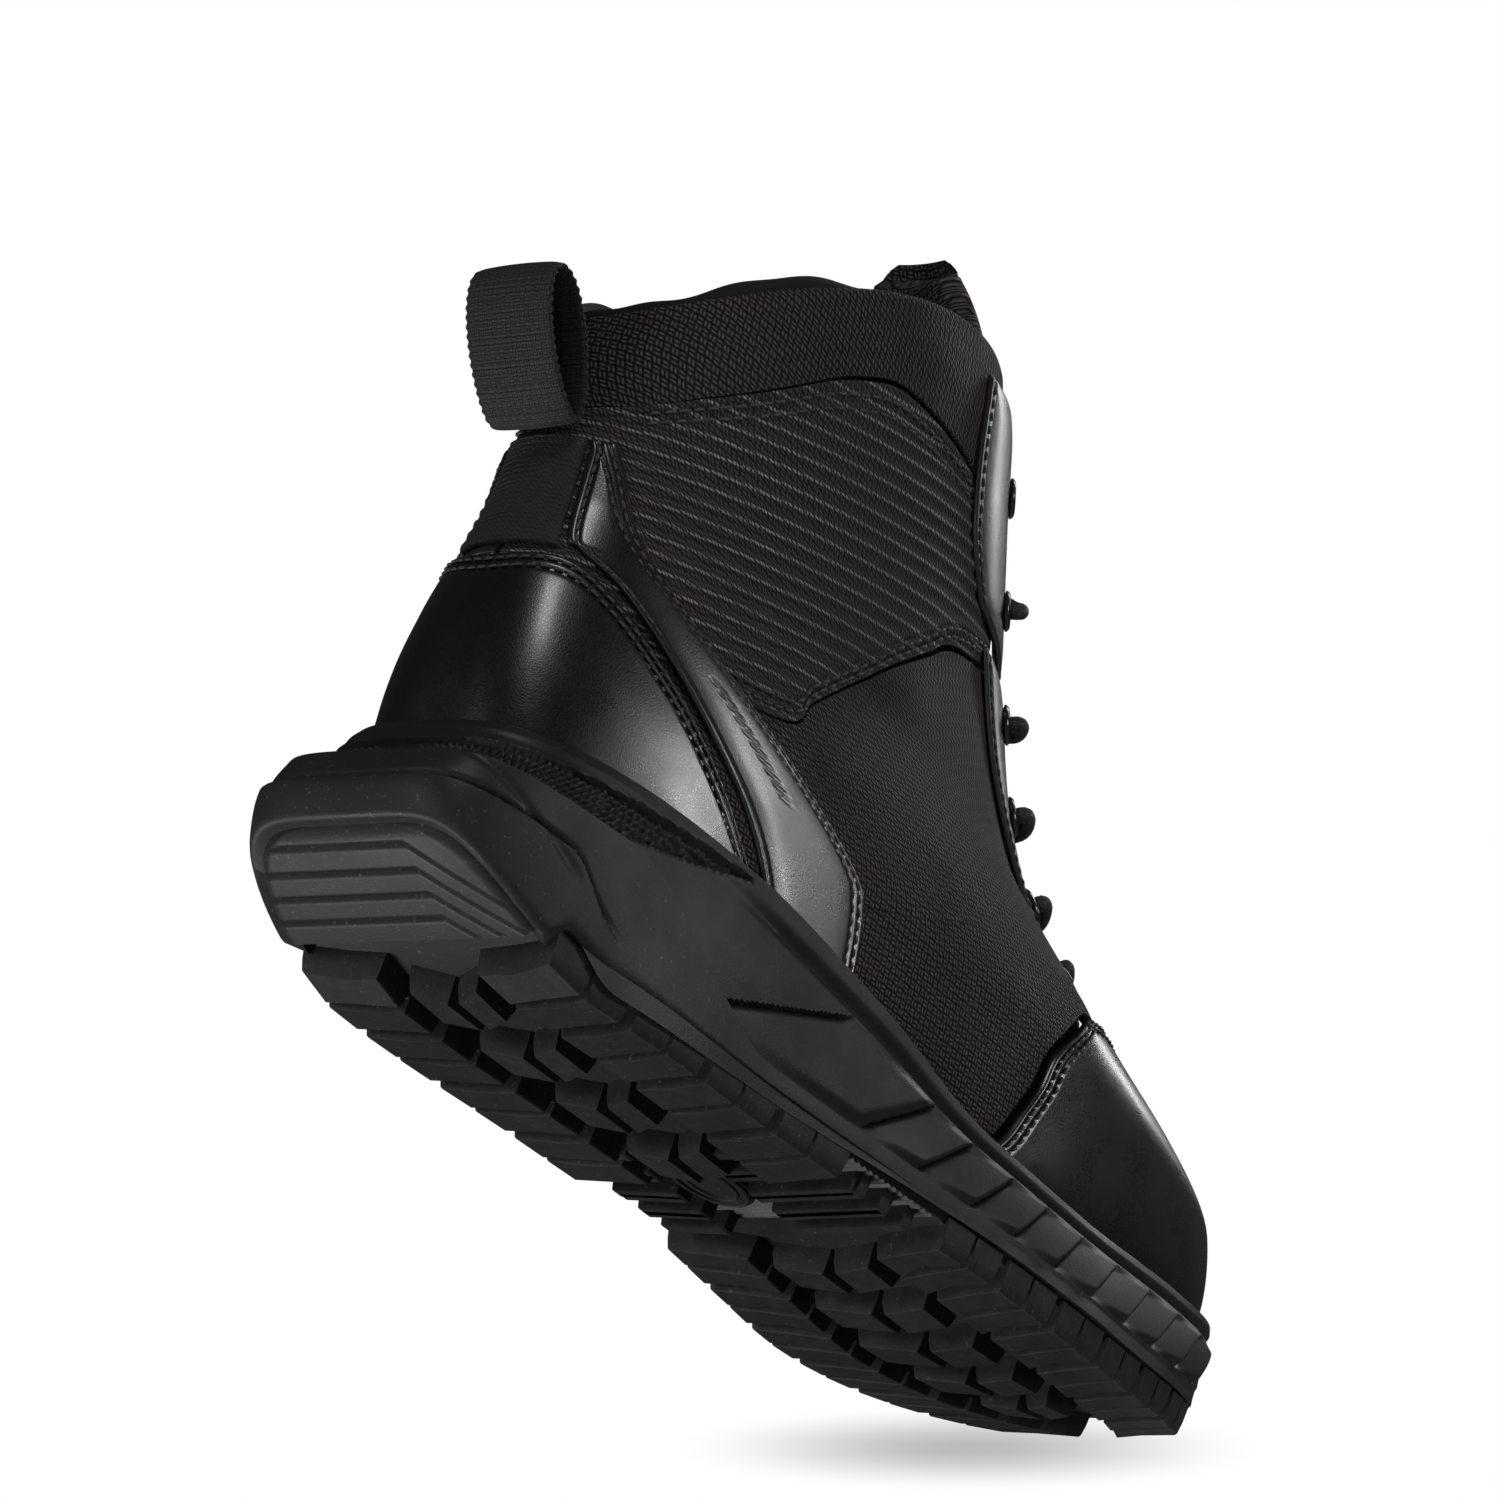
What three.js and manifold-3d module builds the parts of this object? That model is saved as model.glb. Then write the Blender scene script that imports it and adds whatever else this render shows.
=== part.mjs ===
// Steel toe work boot, right foot, standing on its lugs.
// Millimetres. +X points to the toe, +Y to the inner (medial) side, +Z up.
// The upper is a stack of thin layers on one lofted last: lining, stiffeners, fabric, leather.
import * as THREE from "three";
import { mergeVertices } from "three/addons/utils/BufferGeometryUtils.js";
import Module from "manifold-3d";

const wasm = await Module();
wasm.setup();

// ---- driving dimensions ----------------------------------------------------------------------
const soleLength = 316;          // heel flare to toe bumper
const ballHalfWidth = 52;        // scales every width; the rounded sole comes out about 91 wide
const shaftHeight = 200;         // ground to the front of the collar
const clearance = 0.4;           // between pieces that touch

// sole unit
const lugHeight = 6;
const plateThickness = 4;        // rubber between the lugs and the midsole
const rimInset = 4;              // the tread base lies inside the rim by this much
const rimTop = 12;               // ground to the top of the outsole rim
const heelWrapTop = 38;          // ground to the top of the rubber that climbs the heel
const rimThickness = 4;
const heelFlare = 4;             // how far the heel rubber swells out behind its top edge
const toeSpring = 13;            // how far the tread lifts 100 mm ahead of the ball
const heelBevel = 10;            // how far the tread lifts at the back of the heel
const lipThickness = 3;          // midsole lip round the upper
const cupClearance = 0.9;        // between the upper and the inside of the midsole cup

// layers of the upper, as distances out from the last surface
const liningLayer = [-4.7, -3.3];
const stiffenerLayer = [-2.5, -0.8];
const fabricLayer = [0, 1.2];
const leatherLayer = [1.8, 3.2];
const tongueLayer = [-5.6, -3.0];

// inner parts
const vampSeamShare = 0.62;      // of the length, where the lining's vamp and quarters meet
const collarSeamShare = 0.475;   // of the shaft height, where its quarters and collar meet
const boardThickness = 2.6;
const footbedThickness = 5;
const toeCapDepth = 58;          // steel cap, front to rear edge
const toeCapEdging = 7;
const counterLength = 62;        // heel counter, back to front edge
const counterTop = 88;           // ground to the top of the heel counter
const shank = { length: 105, width: 18, thickness: 2, x: -22 };

// lacing
const eyelet = { bore: 2.4, barrel: 3.1, flange: 4.8, flangeThickness: 1 };
const eyeletLevels = [8.3, 7.55, 6.75, 6.05, 5.3, 4.55];
const eyeletAround = 0.395;
const laceRadius = 1.4;
const aglet = { radius: 1.9, length: 16 };

// pull loop, a band of webbing bent into a tall ring that leans back
const loop = { width: 24, height: 35, depth: 13, thickness: 1.6, lean: 34 };

// ---- last surface ------------------------------------------------------------------------------
// Around the boot s runs 0 back, 0.25 outer side, 0.5 front, 0.75 inner side.
// Level v runs from 0 at the insole to 9 at the collar edge and 10 at the tongue tip.
// Lengths are shares of the sole length from the heel, heights shares of the shaft height,
// half widths shares of the ball half width.
const lastRings = [
  { back: [0.063, 0.155], front: [0.975, 0.165], half: 0.74, round: 0.0, rise: -0.045 },
  { back: [0.057, 0.250], front: [0.988, 0.230], half: 0.76, round: 0.0, rise: -0.055 },
  { back: [0.054, 0.330], front: [0.977, 0.300], half: 0.76, round: 0.1, rise: 0.000 },
  { back: [0.056, 0.410], front: [0.893, 0.345], half: 0.73, round: 0.3, rise: 0.030 },
  { back: [0.062, 0.490], front: [0.797, 0.375], half: 0.68, round: 0.55, rise: 0.050 },
  { back: [0.070, 0.560], front: [0.709, 0.425], half: 0.65, round: 0.75, rise: 0.055 },
  { back: [0.073, 0.620], front: [0.633, 0.535], half: 0.65, round: 0.85, rise: 0.045 },
  { back: [0.073, 0.680], front: [0.576, 0.680], half: 0.67, round: 0.95, rise: 0.040 },
  { back: [0.073, 0.735], front: [0.525, 0.840], half: 0.72, round: 1.0, rise: 0.055 },
  { back: [0.073, 0.785], front: [0.475, 1.000], half: 0.76, round: 1.0, rise: 0.085 },
  { back: [0.073, 0.810], front: [0.415, 1.140], half: 0.76, round: 1.0, rise: 0.085 },
];
const collarLevel = 9;
const stations = [0, 0.1, 0.25, 0.42, 0.6, 0.78, 0.9, 1];
const footOuter = [0.92, 0.94, 0.97, 0.97, 1.02, 1.08, 1.06, 1.02];
const footInner = [0.94, 0.94, 0.90, 0.82, 0.90, 1.02, 1.10, 1.10];
const bluntStations = [0, 0.15, 0.5, 0.85, 1];
const lastBluntness = [0.5, 0.6, 0.9, 0.78, 0.68];

// sole outline, half widths as shares of the ball half width
const soleStations = [0, 0.08, 0.2, 0.36, 0.5, 0.62, 0.74, 0.86, 0.95, 1];
const soleOuter = [0.87, 0.88, 0.90, 0.86, 0.89, 0.97, 1.03, 1.02, 0.97, 0.94];
const soleInner = [0.93, 0.90, 0.81, 0.67, 0.62, 0.73, 0.90, 0.99, 1.01, 1.0];
const soleBluntness = [0.36, 0.55, 0.9, 0.8, 0.66];

// midsole lip line, as [share of the sole length, share of the shaft height]
const lipStations = [0, 0.13, 0.27, 0.4, 0.58, 0.7, 0.86, 1];
const lipHeights = [0.245, 0.255, 0.24, 0.205, 0.155, 0.15, 0.175, 0.215];

// A smooth curve through (xs, ys), cubic between knots, level at a peak, so it never overshoots.
function through(xs, ys, x) {
  const at = Math.min(Math.max(x, xs[0]), xs[xs.length - 1]);
  let i = 0;
  while (i < xs.length - 2 && at > xs[i + 1]) i += 1;
  const slope = (k) => (ys[k + 1] - ys[k]) / (xs[k + 1] - xs[k]);
  const tangent = (k) => {
    if (k === 0) return slope(0);
    if (k === xs.length - 1) return slope(k - 1);
    const [a, b] = [slope(k - 1), slope(k)];
    return a * b > 0 ? (2 * a * b) / (a + b) : 0;
  };
  const h = xs[i + 1] - xs[i];
  const q = (at - xs[i]) / h;
  const start = ys[i] * (1 + 2 * q) * (1 - q) ** 2 + tangent(i) * h * q * (1 - q) ** 2;
  return start + ys[i + 1] * q * q * (3 - 2 * q) - tangent(i + 1) * h * q * q * (1 - q);
}

const heelX = -soleLength / 2;
const lengthX = (share) => heelX + soleLength * share;
const shareOf = (x) => (x - heelX) / soleLength;
const along = (s) => (1 - Math.cos(2 * Math.PI * s)) / 2;
const sideOf = (s) => Math.sin(2 * Math.PI * s);
const levels = lastRings.map((ring, i) => i);
const lastColumns = {
  backX: lastRings.map((ring) => ring.back[0]),
  backZ: lastRings.map((ring) => ring.back[1]),
  frontX: lastRings.map((ring) => ring.front[0]),
  frontZ: lastRings.map((ring) => ring.front[1]),
  half: lastRings.map((ring) => ring.half),
  round: lastRings.map((ring) => ring.round),
  rise: lastRings.map((ring) => ring.rise),
};

// A point of the last: between the ring's back and front points by the share xi, bulged sideways.
function lastPoint(s, v) {
  const at = (name) => through(levels, lastColumns[name], v);
  const xi = along(s);
  const side = sideOf(s);
  const round = at("round");
  const foot = through(stations, side > 0 ? footOuter : footInner, xi);
  const power = through(bluntStations, lastBluntness, xi) * (1 - round) + round;
  const half = ballHalfWidth * at("half") * (foot * (1 - round) + round);
  const x = lengthX(at("backX") + (at("frontX") - at("backX")) * xi);
  const z = at("backZ") + (at("frontZ") - at("backZ")) * xi + at("rise") * 4 * xi * (1 - xi);
  return new THREE.Vector3(x, -Math.sign(side) * Math.abs(side) ** power * half, z * shaftHeight);
}

function lastNormal(s, v) {
  const [ds, dv] = [0.004, 0.05];
  const around = lastPoint(s + ds, v).sub(lastPoint(s - ds, v));
  const top = lastRings.length - 1;
  const up = lastPoint(s, Math.min(v + dv, top)).sub(lastPoint(s, Math.max(v - dv, 0)));
  return around.cross(up).normalize();
}

const offsetPoint = (s, v, d) => lastPoint(s, v).addScaledVector(lastNormal(s, v), d);

// ---- solids ------------------------------------------------------------------------------------
// A closed body from a point list and a triangle list, turned so that its volume is positive.
function solid(points, triangles) {
  let volume = 0;
  for (const [a, b, c] of triangles) {
    volume += points[a].dot(points[b].clone().cross(points[c]));
  }
  const faces = volume < 0 ? triangles.map(([a, b, c]) => [a, c, b]) : triangles;
  const geometry = new THREE.BufferGeometry();
  const flat = points.flatMap((p) => [p.x, p.y, p.z]);
  geometry.setAttribute("position", new THREE.Float32BufferAttribute(flat, 3));
  geometry.setIndex(faces.flat());
  return toManifold(geometry);
}

function toManifold(geometry) {
  const plain = geometry.clone();
  plain.deleteAttribute("normal");
  plain.deleteAttribute("uv");
  const merged = mergeVertices(plain, 1e-3);
  const index = merged.index.array;
  const kept = [];
  for (let i = 0; i < index.length; i += 3) {
    const [a, b, c] = [index[i], index[i + 1], index[i + 2]];
    if (a !== b && b !== c && c !== a) kept.push(a, b, c);
  }
  return new wasm.Manifold(new wasm.Mesh({
    numProp: 3,
    vertProperties: new Float32Array(merged.attributes.position.array),
    triVerts: new Uint32Array(kept),
  }));
}

// Closed body through level rings of equal count. Points i and n - i of a ring lie across the
// boot from each other, so strips across close the bottom and the top.
function ringSolid(rings) {
  const n = rings[0].length;
  const points = rings.flat();
  const triangles = [];
  const quad = (a, b, c, d) => triangles.push([a, b, c], [a, c, d]);
  for (let k = 0; k < rings.length - 1; k += 1) {
    for (let i = 0; i < n; i += 1) {
      const j = (i + 1) % n;
      quad(k * n + i, k * n + j, (k + 1) * n + j, (k + 1) * n + i);
    }
  }
  const cap = (base, flip) => {
    for (let i = 0; i < n / 2; i += 1) {
      const strip = [base + i, base + i + 1, base + n - i - 1, base + ((n - i) % n)];
      if (flip) strip.reverse();
      quad(...strip);
    }
  };
  cap(0, true);
  cap((rings.length - 1) * n, false);
  return solid(points, triangles);
}

// Closed slab between two sheets given by place(a, b, side), side 0 inner and 1 outer.
function slab(place, na, nb) {
  const points = [];
  const triangles = [];
  const id = (i, j, side) => (side * (nb + 1) + j) * (na + 1) + i;
  const quad = (a, b, c, d) => triangles.push([a, b, c], [a, c, d]);
  for (const side of [0, 1]) {
    for (let j = 0; j <= nb; j += 1) {
      for (let i = 0; i <= na; i += 1) points.push(place(i / na, j / nb, side));
    }
  }
  for (let j = 0; j < nb; j += 1) {
    for (let i = 0; i < na; i += 1) {
      quad(id(i, j, 1), id(i + 1, j, 1), id(i + 1, j + 1, 1), id(i, j + 1, 1));
      quad(id(i, j + 1, 0), id(i + 1, j + 1, 0), id(i + 1, j, 0), id(i, j, 0));
    }
    quad(id(0, j, 0), id(0, j, 1), id(0, j + 1, 1), id(0, j + 1, 0));
    quad(id(na, j, 1), id(na, j, 0), id(na, j + 1, 0), id(na, j + 1, 1));
  }
  for (let i = 0; i < na; i += 1) {
    quad(id(i, 0, 1), id(i, 0, 0), id(i + 1, 0, 0), id(i + 1, 0, 1));
    quad(id(i, nb, 0), id(i, nb, 1), id(i + 1, nb, 1), id(i + 1, nb, 0));
  }
  return solid(points, triangles);
}

// One full layer of the upper between two distances from the last, on the shared lattice.
const aroundSteps = 30;
const levelSteps = 11;
function layer([inner, outer], high = collarLevel, steps = levelSteps) {
  const low = 0;
  const rows = [];
  const push = (d, from, to) => {
    for (let j = 0; j <= steps; j += 1) {
      const v = from + ((to - from) * j) / steps;
      rows.push({ v, d });
    }
  };
  push(outer, low, high);
  push(inner, high, low);
  const n = aroundSteps;
  const points = rows.flatMap(({ v, d }) =>
    Array.from({ length: n }, (unused, i) => offsetPoint(i / n, v, d)));
  const triangles = [];
  rows.forEach((row, k) => {
    const next = (k + 1) % rows.length;
    for (let i = 0; i < n; i += 1) {
      const j = (i + 1) % n;
      triangles.push([k * n + i, k * n + j, next * n + j]);
      triangles.push([k * n + i, next * n + j, next * n + i]);
    }
  });
  return solid(points, triangles);
}

// Seam lines are curves in (s, level). A patch fills four of them as a Coons surface.
const seam = (...points) => new THREE.SplineCurve(points.map(([s, v]) => new THREE.Vector2(s, v)));
const line = (from, to) => seam(from, to);

function patchAt({ bottom, top, left, right }, a, b) {
  const sum = new THREE.Vector2();
  sum.addScaledVector(bottom.getPoint(a), 1 - b).addScaledVector(top.getPoint(a), b);
  sum.addScaledVector(left.getPoint(b), 1 - a).addScaledVector(right.getPoint(b), a);
  const corners = [[bottom, 0, (1 - a) * (1 - b)], [bottom, 1, a * (1 - b)],
    [top, 0, (1 - a) * b], [top, 1, a * b]];
  for (const [curve, end, weight] of corners) sum.addScaledVector(curve.getPoint(end), -weight);
  return sum;
}

// The part of a layer inside a patch, cut by walls square to the last.
const cutReach = 1.4;
function panel(sheet, [inner, outer], patch, na, nb) {
  const place = (a, b, side) => {
    const at = patchAt(patch, a, b);
    return offsetPoint(at.x, at.y, side ? outer + cutReach : inner - cutReach);
  };
  return sheet.intersect(slab(place, na, nb));
}

const mirrorSeam = (curve) => new THREE.SplineCurve(
  curve.points.map((p) => new THREE.Vector2(1 - p.x, p.y)));

function mirrorPatch(patch) {
  return {
    bottom: mirrorSeam(patch.bottom),
    top: mirrorSeam(patch.top),
    left: mirrorSeam(patch.left),
    right: mirrorSeam(patch.right),
  };
}

function boxBetween(low, high) {
  const size = new THREE.Vector3().subVectors(high, low);
  const geometry = new THREE.BoxGeometry(size.x, size.y, size.z);
  geometry.translate(...low.clone().add(high).multiplyScalar(0.5).toArray());
  return toManifold(geometry);
}

// ---- sole unit ---------------------------------------------------------------------------------
const soleSteps = 40;
function soleRing(grow, heightAt, backShare = 0) {
  return Array.from({ length: soleSteps }, (unused, i) => {
    const s = i / soleSteps;
    const xi = along(s);
    const side = sideOf(s);
    const share = through(soleStations, side > 0 ? soleOuter : soleInner, xi);
    const power = through(bluntStations, soleBluntness, xi);
    const y = -Math.sign(side) * Math.abs(side) ** power * (share * ballHalfWidth + grow);
    const x = lengthX(backShare) - grow + (lengthX(1) - lengthX(backShare) + 2 * grow) * xi;
    return new THREE.Vector3(x, y, heightAt(x, xi));
  });
}

const ballX = lengthX(0.66);
const bevelX = lengthX(0.155);
const springAt = (x) => toeSpring * (Math.max(x - ballX, 0) / 100) ** 2;
const bevelAt = (x) => heelBevel * (Math.max(bevelX - x, 0) / 34) ** 1.5;
const groundAt = (x) => springAt(x) + bevelAt(x);
const wrapShares = [0, 0.14, 0.26, 0.32, 1];
const wrapRise = [1, 0.95, 0.25, 0, 0];
const rimTopAt = (x) =>
  rimTop + springAt(x) + (heelWrapTop - rimTop) * through(wrapShares, wrapRise, shareOf(x));
const outsoleFloorAt = (x) => groundAt(x) + lugHeight + plateThickness;
const lipAt = (x) => shaftHeight * through(lipStations, lipHeights, shareOf(x));

// A lug is a prism on the tread whose foot follows the ground line, drawn in from its root.
function lug(corners, taper = 1.5) {
  const middle = corners.reduce((sum, [x, y]) => [sum[0] + x, sum[1] + y], [0, 0]);
  const centre = middle.map((value) => value / corners.length);
  const root = corners.map(([x, y]) => new THREE.Vector3(x, y, groundAt(x) + lugHeight + 1));
  const foot = corners.map(([x, y]) => {
    const [dx, dy] = [x - centre[0], y - centre[1]];
    const scale = 1 - taper / Math.hypot(dx, dy);
    const footX = centre[0] + dx * scale;
    return new THREE.Vector3(footX, centre[1] + dy * scale, groundAt(footX));
  });
  const n = corners.length;
  const triangles = [];
  for (let i = 0; i < n; i += 1) {
    const j = (i + 1) % n;
    triangles.push([i, j, n + j], [i, n + j, n + i]);
    if (i > 0 && i < n - 1) triangles.push([0, i + 1, i], [n, n + i, n + i + 1]);
  }
  return solid([...root, ...foot], triangles);
}

const halfWidthAt = (x, outer) => {
  const xi = (x - heelX) / soleLength;
  const share = through(soleStations, outer ? soleOuter : soleInner, xi);
  const power = through(bluntStations, soleBluntness, xi);
  return (2 * Math.sqrt(Math.max(xi * (1 - xi), 0))) ** power * share * ballHalfWidth;
};

// Rows of lugs: a big one on each edge and small ones between them.
const heelRows = [0.1, 0.182, 0.264, 0.346].map(lengthX);
const foreRows = [0.535, 0.606, 0.677, 0.748, 0.819, 0.89].map(lengthX);
const waistBars = [0.405, 0.44, 0.475, 0.5].map(lengthX);
const sipe = 4;                  // free width between rows
function edgeLug(from, to, outer, slant, inboard) {
  const sign = outer ? -1 : 1;
  const edge = (x) => sign * (halfWidthAt(x, outer) - 1.2);
  const root = (x) => edge(x) - sign * inboard;
  const back = from + sipe / 2;
  const front = to - sipe / 2;
  const middle = (back + front) / 2;
  return lug([[back, edge(back)], [middle, edge(middle)], [front, edge(front)],
    [front + slant, root(front)], [back + slant, root(back)]]);
}

function tread() {
  const lugs = [];
  for (const rows of [heelRows, foreRows]) {
    const pitch = rows[1] - rows[0];
    const slant = rows === heelRows ? 3 : 6;
    for (const from of rows) {
      const to = from + pitch;
      lugs.push(edgeLug(from, to, true, slant, 23));
      lugs.push(edgeLug(from, to, false, slant, 21));
      const middle = (from + to) / 2 + slant;
      const reach = 0.28 * pitch;
      const inner = halfWidthAt(middle, false) - 27;
      const outer = halfWidthAt(middle, true) - 29;
      if (inner + outer > 9) {
        lugs.push(lug([[middle - reach, -outer], [middle + reach, -outer],
          [middle + reach * 1.6, (inner - outer) / 2], [middle + reach, inner],
          [middle - reach, inner], [middle - reach * 0.4, (inner - outer) / 2]]));
      }
    }
  }
  waistBars.forEach((x) => {
    const reach = (waistBars[1] - waistBars[0]) * 0.28;
    for (const outer of [true, false]) {
      const edge = (outer ? -1 : 1) * (halfWidthAt(x, outer) - 5);
      const root = (outer ? -1 : 1) * 8;
      lugs.push(lug([[x - reach, edge], [x + reach, edge], [x + reach, root], [x - reach, root]]));
    }
  });
  return lugs;
}

function outsole() {
  const plate = ringSolid([
    soleRing(-rimInset, (x) => groundAt(x) + lugHeight),
    soleRing(0, (x) => groundAt(x) + lugHeight + 2),
    soleRing(0, (x) => (groundAt(x) + lugHeight + 2 + rimTopAt(x)) / 2, -heelFlare / soleLength),
    soleRing(0, rimTopAt),
    soleRing(-rimThickness, rimTopAt),
    soleRing(-rimThickness, outsoleFloorAt),
  ]);
  return tread().reduce((body, piece) => body.add(piece), plate);
}

// The cup in the midsole follows the outside of the upper with a clearance. Below cupShoulder
// only the fabric is tucked in, so the cup draws in there.
const cupShoulder = 0.24;
const cupFoot = cupClearance + fabricLayer[1];
const cupReach = (s) => {
  const blend = THREE.MathUtils.smoothstep(along(s), 0.4, 0.52);
  return cupClearance + THREE.MathUtils.lerp(leatherLayer[1], fabricLayer[1] + 0.4, blend);
};
const lipLevel = (s) => {
  const target = lipAt(lastPoint(s, 1).x);
  let [low, high] = [0, 3];
  for (let i = 0; i < 24; i += 1) {
    const middle = (low + high) / 2;
    if (lastPoint(s, middle).z < target) low = middle;
    else high = middle;
  }
  return low;
};
const upperRing = (place) => Array.from({ length: soleSteps }, (unused, i) => place(i / soleSteps));
const flatOffset = (s, v, d) => {
  const normal = lastNormal(s, v).setZ(0).normalize();
  return lastPoint(s, v).addScaledVector(normal, d);
};
const lowered = (point, drop) => point.setZ(point.z - drop);
const cupDepth = boardThickness + 2 * clearance;

function midsole() {
  const inside = -rimThickness - clearance;
  const shoulderAt = (x) => rimTopAt(x) + 2 * clearance;
  const footWall = upperRing((s) => flatOffset(s, 0, cupFoot + lipThickness));
  const swellAt = (x) => Math.max((shoulderAt(x) + lipAt(x)) / 2, shoulderAt(x) + 1.5);
  const swell = soleRing(-1, swellAt, 0.012).map((point, i) => {
    const reach = Math.max(Math.abs(point.y), Math.abs(footWall[i].y));
    return point.setY(Math.sign(point.y) * reach);
  });
  const body = ringSolid([
    soleRing(inside, (x) => outsoleFloorAt(x) + clearance),
    soleRing(inside, shoulderAt),
    soleRing(-0.6, shoulderAt),
    swell,
    upperRing((s) => flatOffset(s, lipLevel(s), cupReach(s) + lipThickness)),
    upperRing((s) => flatOffset(s, lipLevel(s), cupReach(s))),
    upperRing((s) => flatOffset(s, cupShoulder, cupReach(s))),
    upperRing((s) => lowered(flatOffset(s, 0, cupFoot), cupDepth)),
  ]);
  const pocket = boxBetween(
    new THREE.Vector3(shank.x - shank.length / 2 - clearance, -shank.width / 2 - clearance, 0),
    new THREE.Vector3(shank.x + shank.length / 2 + clearance, shank.width / 2 + clearance,
      outsoleFloorAt(shank.x) + shank.thickness + 3 * clearance),
  );
  return body.subtract(pocket);
}

function shankBar() {
  const outline = new THREE.Shape();
  const reach = (shank.length - shank.width) / 2;
  outline.absarc(reach, 0, shank.width / 2, -Math.PI / 2, Math.PI / 2);
  outline.absarc(-reach, 0, shank.width / 2, Math.PI / 2, (3 * Math.PI) / 2);
  const settings = { depth: shank.thickness, bevelEnabled: false, curveSegments: 8 };
  const geometry = new THREE.ExtrudeGeometry(outline, settings);
  geometry.translate(shank.x, 0, outsoleFloorAt(shank.x) + 2 * clearance);
  return toManifold(geometry);
}

function insoleBoard() {
  const edge = (drop) => upperRing((s) => lowered(flatOffset(s, 0, fabricLayer[0]), drop));
  return ringSolid([edge(boardThickness + clearance), edge(clearance)]);
}

function footbed() {
  const edge = liningLayer[0] - 3 * clearance;
  const under = (lift) => upperRing((s) => lowered(flatOffset(s, 0.1, edge), -lift));
  return ringSolid([under(0), under(footbedThickness)]);
}

// ---- upper -------------------------------------------------------------------------------------
const lining = layer(liningLayer);
const stiffeners = layer(stiffenerLayer);
const fabric = layer(fabricLayer);
const leather = layer(leatherLayer);
const tongueSheet = layer(tongueLayer, collarLevel + 1, 2 * levelSteps);

const throatEdge = 0.372;        // fabric stops here, short of the eyelets
const lowEdge = 0.12;            // level where the upper is tucked under
const g = 0.0012;                // half a seam gap, as a share of the way round
const gv = 0.035;                // half a seam gap, in levels

const heelCoverTop = [[0.162, 1.3], [0.132, 2.25], [0.111, 2.85], [0.081, 3.45], [0.049, 3.78],
  [0, 3.72]];
const stayFront = [[0.206, 1.15], [0.204, 1.8], [0.198, 2.1], [0.168, 2.8], [0.13, 3.57],
  [0.092, 4.5], [0.074, 5.6], [0.063, 6.2]];
const ribSeam = [[0.1, 3.0], [0.169, 3.24], [0.188, 3.8], [0.216, 4.68], [0.247, 5.55],
  [0.28, 6.2], [0.309, 6.6], [throatEdge, 6.95]];
const collarSeam = [[0.061, 6.95], [0.118, 7.45], [0.162, 7.83], [0.19, 8.07], [0.217, 8.19],
  [0.236, 8.22], [0.264, 8.16], [throatEdge, 7.9]];
const toeSeamSide = [[0.265, 0.1], [0.27, 0.5], [0.278, 1.2], [0.285, 1.6], [0.295, 2.2],
  [0.33, 3.1]];
const toeSeamTop = [[0.33, 3.1], [0.372, 3.6], [0.43, 3.88], [0.5, 3.95]];
const strapHalf = 0.041;         // back strap, half its width as a share of the way round
const strapBottom = 3.95;
const loopLevel = 6.25;          // where the pull loop is sewn on

const shift = (points, ds, dv) => points.map(([s, v]) => [s + ds, v + dv]);
const mirrored = (points) => points.map(([s, v]) => [1 - s, v]).reverse();

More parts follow.
